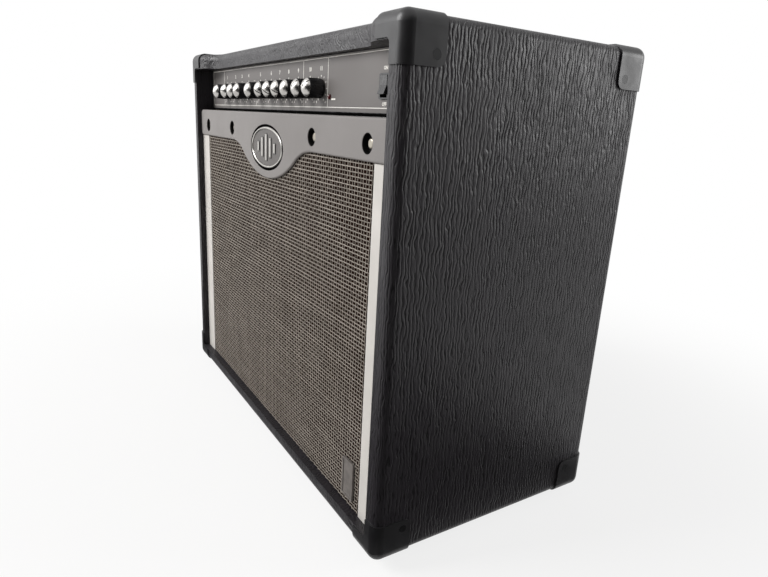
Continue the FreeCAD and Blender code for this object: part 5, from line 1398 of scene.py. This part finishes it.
@dataclass
class Studio:
    """The floor, the lights, the plain surroundings and the camera."""

    camera_mm: tuple = (665.64, -388.68, 408.45)
    camera_turn: tuple = (0.6899312, 0.5366258, 0.2737082, 0.4013871)
    lens: float = 27.40
    sensor: float = 36.0
    floor_half: float = 6.0
    world_level: float = 0.25
    glow_m: tuple = (0.35, 1.05)
    glow_share: tuple = (0.8, 1.0)
    card_points: tuple = ((300, -1700, 3), (1300, -1700, 3), (1300, 200, 3), (300, 200, 3),
                          (1300, -1700, 1300), (1300, 1250, 1300), (1300, 1250, 3), (-250, -1700, 3),
                          (-250, -1700, 1300), (300, -150, 3), (-700, -150, 3), (-700, -380, 3),
                          (300, -380, 3))
    card_faces: tuple = ((0, 1, 2, 3), (1, 4, 5, 6), (7, 8, 4, 1), (9, 10, 11, 12))
    lamps: tuple = (("key_front_left", (-1.3, -2.8, 2.2), (0, -0.1, 0.25), 1.8, 126),
                    ("sheen_left", (-2.1, -2.0, 1.0), (0, -0.1, 0.3), 1.6, 14),
                    ("rim_right_rear", (1.9, 3.0, 1.2), (0.28, 0.1, 0.35), 1.3, 50))

    def seen(self, tree: Tree) -> Socket:
        """One where the camera, a mirror surface or clear plastic looks, and zero for other light."""
        path = add_node(tree, "ShaderNodeLightPath")
        looks = path.outputs["Is Camera Ray"]
        for kind in ("Is Glossy Ray", "Is Transmission Ray"):
            looks = add_node(tree, "ShaderNodeMath", {"operation": "MAXIMUM"},
                             {0: looks, 1: path.outputs[kind]}).outputs[0]
        return looks

    def stand(self, name: str, points: list, faces: list, finish: Material) -> Piece:
        """Put a flat part of the studio in place.

        Args:
            name: Its name.
            points: Its corners in metres.
            faces: Its faces as lists of corner numbers.
            finish: Its material.

        Returns:
            The object.
        """
        mesh = bpy.data.meshes.new(name)
        mesh.from_pydata(points, [], faces)
        mesh.materials.append(finish)
        made = linked(name, mesh)
        return made

    def floor(self) -> Piece:
        """A pale floor that keeps the amplifier's soft shadow."""
        made = bpy.data.materials.new("pale_studio_floor")
        tree = fresh_tree(made)
        plain = add_node(tree, "ShaderNodeBsdfDiffuse", {"Color": linear("#f4f3f1")})
        glow = add_node(tree, "ShaderNodeEmission", {"Color": WHITE, "Strength": 1.0})
        place = add_node(tree, "ShaderNodeTexCoord").outputs["Object"]
        away = add_node(tree, "ShaderNodeVectorMath", {"operation": "LENGTH"}, {0: place})
        fade = add_node(tree, "ShaderNodeMapRange",
                        {"interpolation_type": "SMOOTHSTEP", "From Min": self.glow_m[0],
                         "From Max": self.glow_m[1], "To Min": self.glow_share[0],
                         "To Max": self.glow_share[1]},
                        {"Value": away.outputs["Value"]})
        share = add_node(tree, "ShaderNodeMath", {"operation": "MULTIPLY"},
                         {0: self.seen(tree), 1: fade.outputs["Result"]})
        mixed = add_node(tree, "ShaderNodeMixShader", {},
                         {0: share.outputs[0], 1: plain.outputs[0], 2: glow.outputs[0]})
        add_node(tree, "ShaderNodeOutputMaterial", {}, {"Surface": mixed.outputs[0]})
        half = self.floor_half
        corners = [(-half, -half, 0), (half, -half, 0), (half, half, 0), (-half, half, 0)]
        return self.stand("studio_floor", corners, [(0, 1, 2, 3)], made)

    def flag(self) -> Piece:
        """Black cards on the right, in front and near the foot that shape the sheen.

        They show only in reflections.
        """
        made = bpy.data.materials.new("black_card")
        tree = fresh_tree(made)
        card = add_node(tree, "ShaderNodeBsdfDiffuse", {"Color": linear("#1a1a1a")})
        add_node(tree, "ShaderNodeOutputMaterial", {}, {"Surface": card.outputs[0]})
        points = (np.array(self.card_points, float) * MM).tolist()
        flag = self.stand("studio_flag", points, list(self.card_faces), made)
        flag.visible_camera = flag.visible_diffuse = flag.visible_shadow = False
        return flag

    def world(self) -> None:
        """White where it is looked at, and a plain soft level where it lights."""
        world = bpy.data.worlds.new("studio_world")
        bpy.context.scene.world = world
        tree = fresh_tree(world)
        soft, white = (add_node(tree, "ShaderNodeBackground", {"Color": WHITE, "Strength": level})
                       for level in (self.world_level, 1.0))
        mixed = add_node(tree, "ShaderNodeMixShader", {},
                         {0: self.seen(tree), 1: soft.outputs[0], 2: white.outputs[0]})
        add_node(tree, "ShaderNodeOutputWorld", {}, {"Surface": mixed.outputs[0]})

    def lamp(self, name: str, place: tuple, target: tuple, size: float, power: float) -> None:
        """Hang one large soft light.

        Args:
            name: The light's name.
            place: Where it hangs, in metres.
            target: What it faces.
            size: The side of its square face in metres.
            power: Its power in watts.
        """
        light = bpy.data.lights.new(name, "AREA")
        light.shape, light.size, light.energy = "SQUARE", size, power
        holder = linked(name, light)
        holder.location = place
        holder.rotation_mode = "QUATERNION"
        holder.rotation_quaternion = (Vector(target) - Vector(place)).to_track_quat("-Z", "Y")

    def camera(self) -> None:
        """Set the camera at the viewing angle."""
        data = bpy.data.cameras.new("camera")
        data.lens, data.sensor_width, data.sensor_fit = self.lens, self.sensor, "HORIZONTAL"
        data.clip_start, data.clip_end = 0.01, 50
        holder = linked("camera", data)
        holder.rotation_mode = "QUATERNION"
        holder.rotation_quaternion = Quaternion(self.camera_turn)
        holder.location = Vector(self.camera_mm) * MM
        bpy.context.scene.camera = holder

    def build(self) -> None:
        """Make the whole studio."""
        self.floor()
        self.flag()
        self.world()
        for lamp in self.lamps:
            self.lamp(*lamp)
        self.camera()
        bpy.context.scene.view_settings.view_transform = "Standard"


# ---------------------------------------------------------------- the whole amplifier

KNOB_X = (-197.5, -162.4, -136.2, -110.0, -67.5, -31.6, -5.4, 20.8, 47.0, 77.0, 103.2)
KNOB_REST = (-40.0, 90.0, -60.0, -75.0, -50.0, 120.0, 125.0, 120.0, -30.0, 35.0, 45.0)
KNOB_Z = 437.0
SWITCH_X = (-181.0, -88.5, -50.0)
SPEAKER_LEAD = ((0, -39.3, 299), (0, -39.3, 325), (16, -23.3, 354), (38, 4, 361.5), (52, 22, 391.5),
                (52, 22, 419.5))
REVERB_LEAD_1 = ((-172, 52, 89.3), (-172, 53, 123.3), (-181, 59, 171.3), (-198, 68, 225.3),
                 (-208, 76, 281.3), (-204, 80, 337.5), (-192, 66, 379.5), (-192, 66, 419.5))
REVERB_LEAD_2 = ((-132, 52, 89.3), (-132, 53, 123.3), (-141, 59, 171.3), (-158, 68, 225.3),
                 (-168, 76, 281.3), (-170, 74, 337.5), (-158, 60, 379.5), (-158, 60, 419.5))


def report(what: str, made: object) -> None:
    """Log what was just built."""
    count = len(made) if isinstance(made, list) else 1
    LOG.info("%s: %d piece(s)", what, count)


def main() -> None:
    """Build every sub-assembly in order and report each."""
    logging.basicConfig(level=logging.INFO, format="%(name)s %(message)s")
    finishes = Finishes()
    LOG.info("dressed %d packed nodes", finishes.dress_nodes())
    Studio().build()
    LOG.info("studio and camera set")
    speaker_lead = Lead(finishes, "speaker_lead_cord", SPEAKER_LEAD, 2.75).build()
    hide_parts("speaker_lead")
    report("speaker lead", speaker_lead)
    reverb = [Lead(finishes, f"reverb_lead_cord_{number + 1}", points, 2.0, plug_r=5.0).build()
              for number, points in enumerate((REVERB_LEAD_1, REVERB_LEAD_2))]
    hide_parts("reverb_leads")
    report("reverb leads", reverb)
    report("grille cloth", GrilleCloth(finishes).build())
    report("trim strips", TrimStrips(finishes).build())
    report("emblem", Emblem(finishes).build())
    # Painted shade: a black strip in the gap above the badge panel.
    report("panel gap shade", PanelGapShade(finishes).build())
    report("panel print", PanelPrint(finishes, KNOB_X, SWITCH_X).build())
    for index, (x, angle) in enumerate(zip(KNOB_X, KNOB_REST)):
        report(f"knob {index + 1}", Knob(finishes, index + 1, x, KNOB_Z, angle).build())
    report("handle", Handle(finishes).build())
    report("soft rings", SoftRings(finishes).build())


if __name__ == "__main__":
    main()
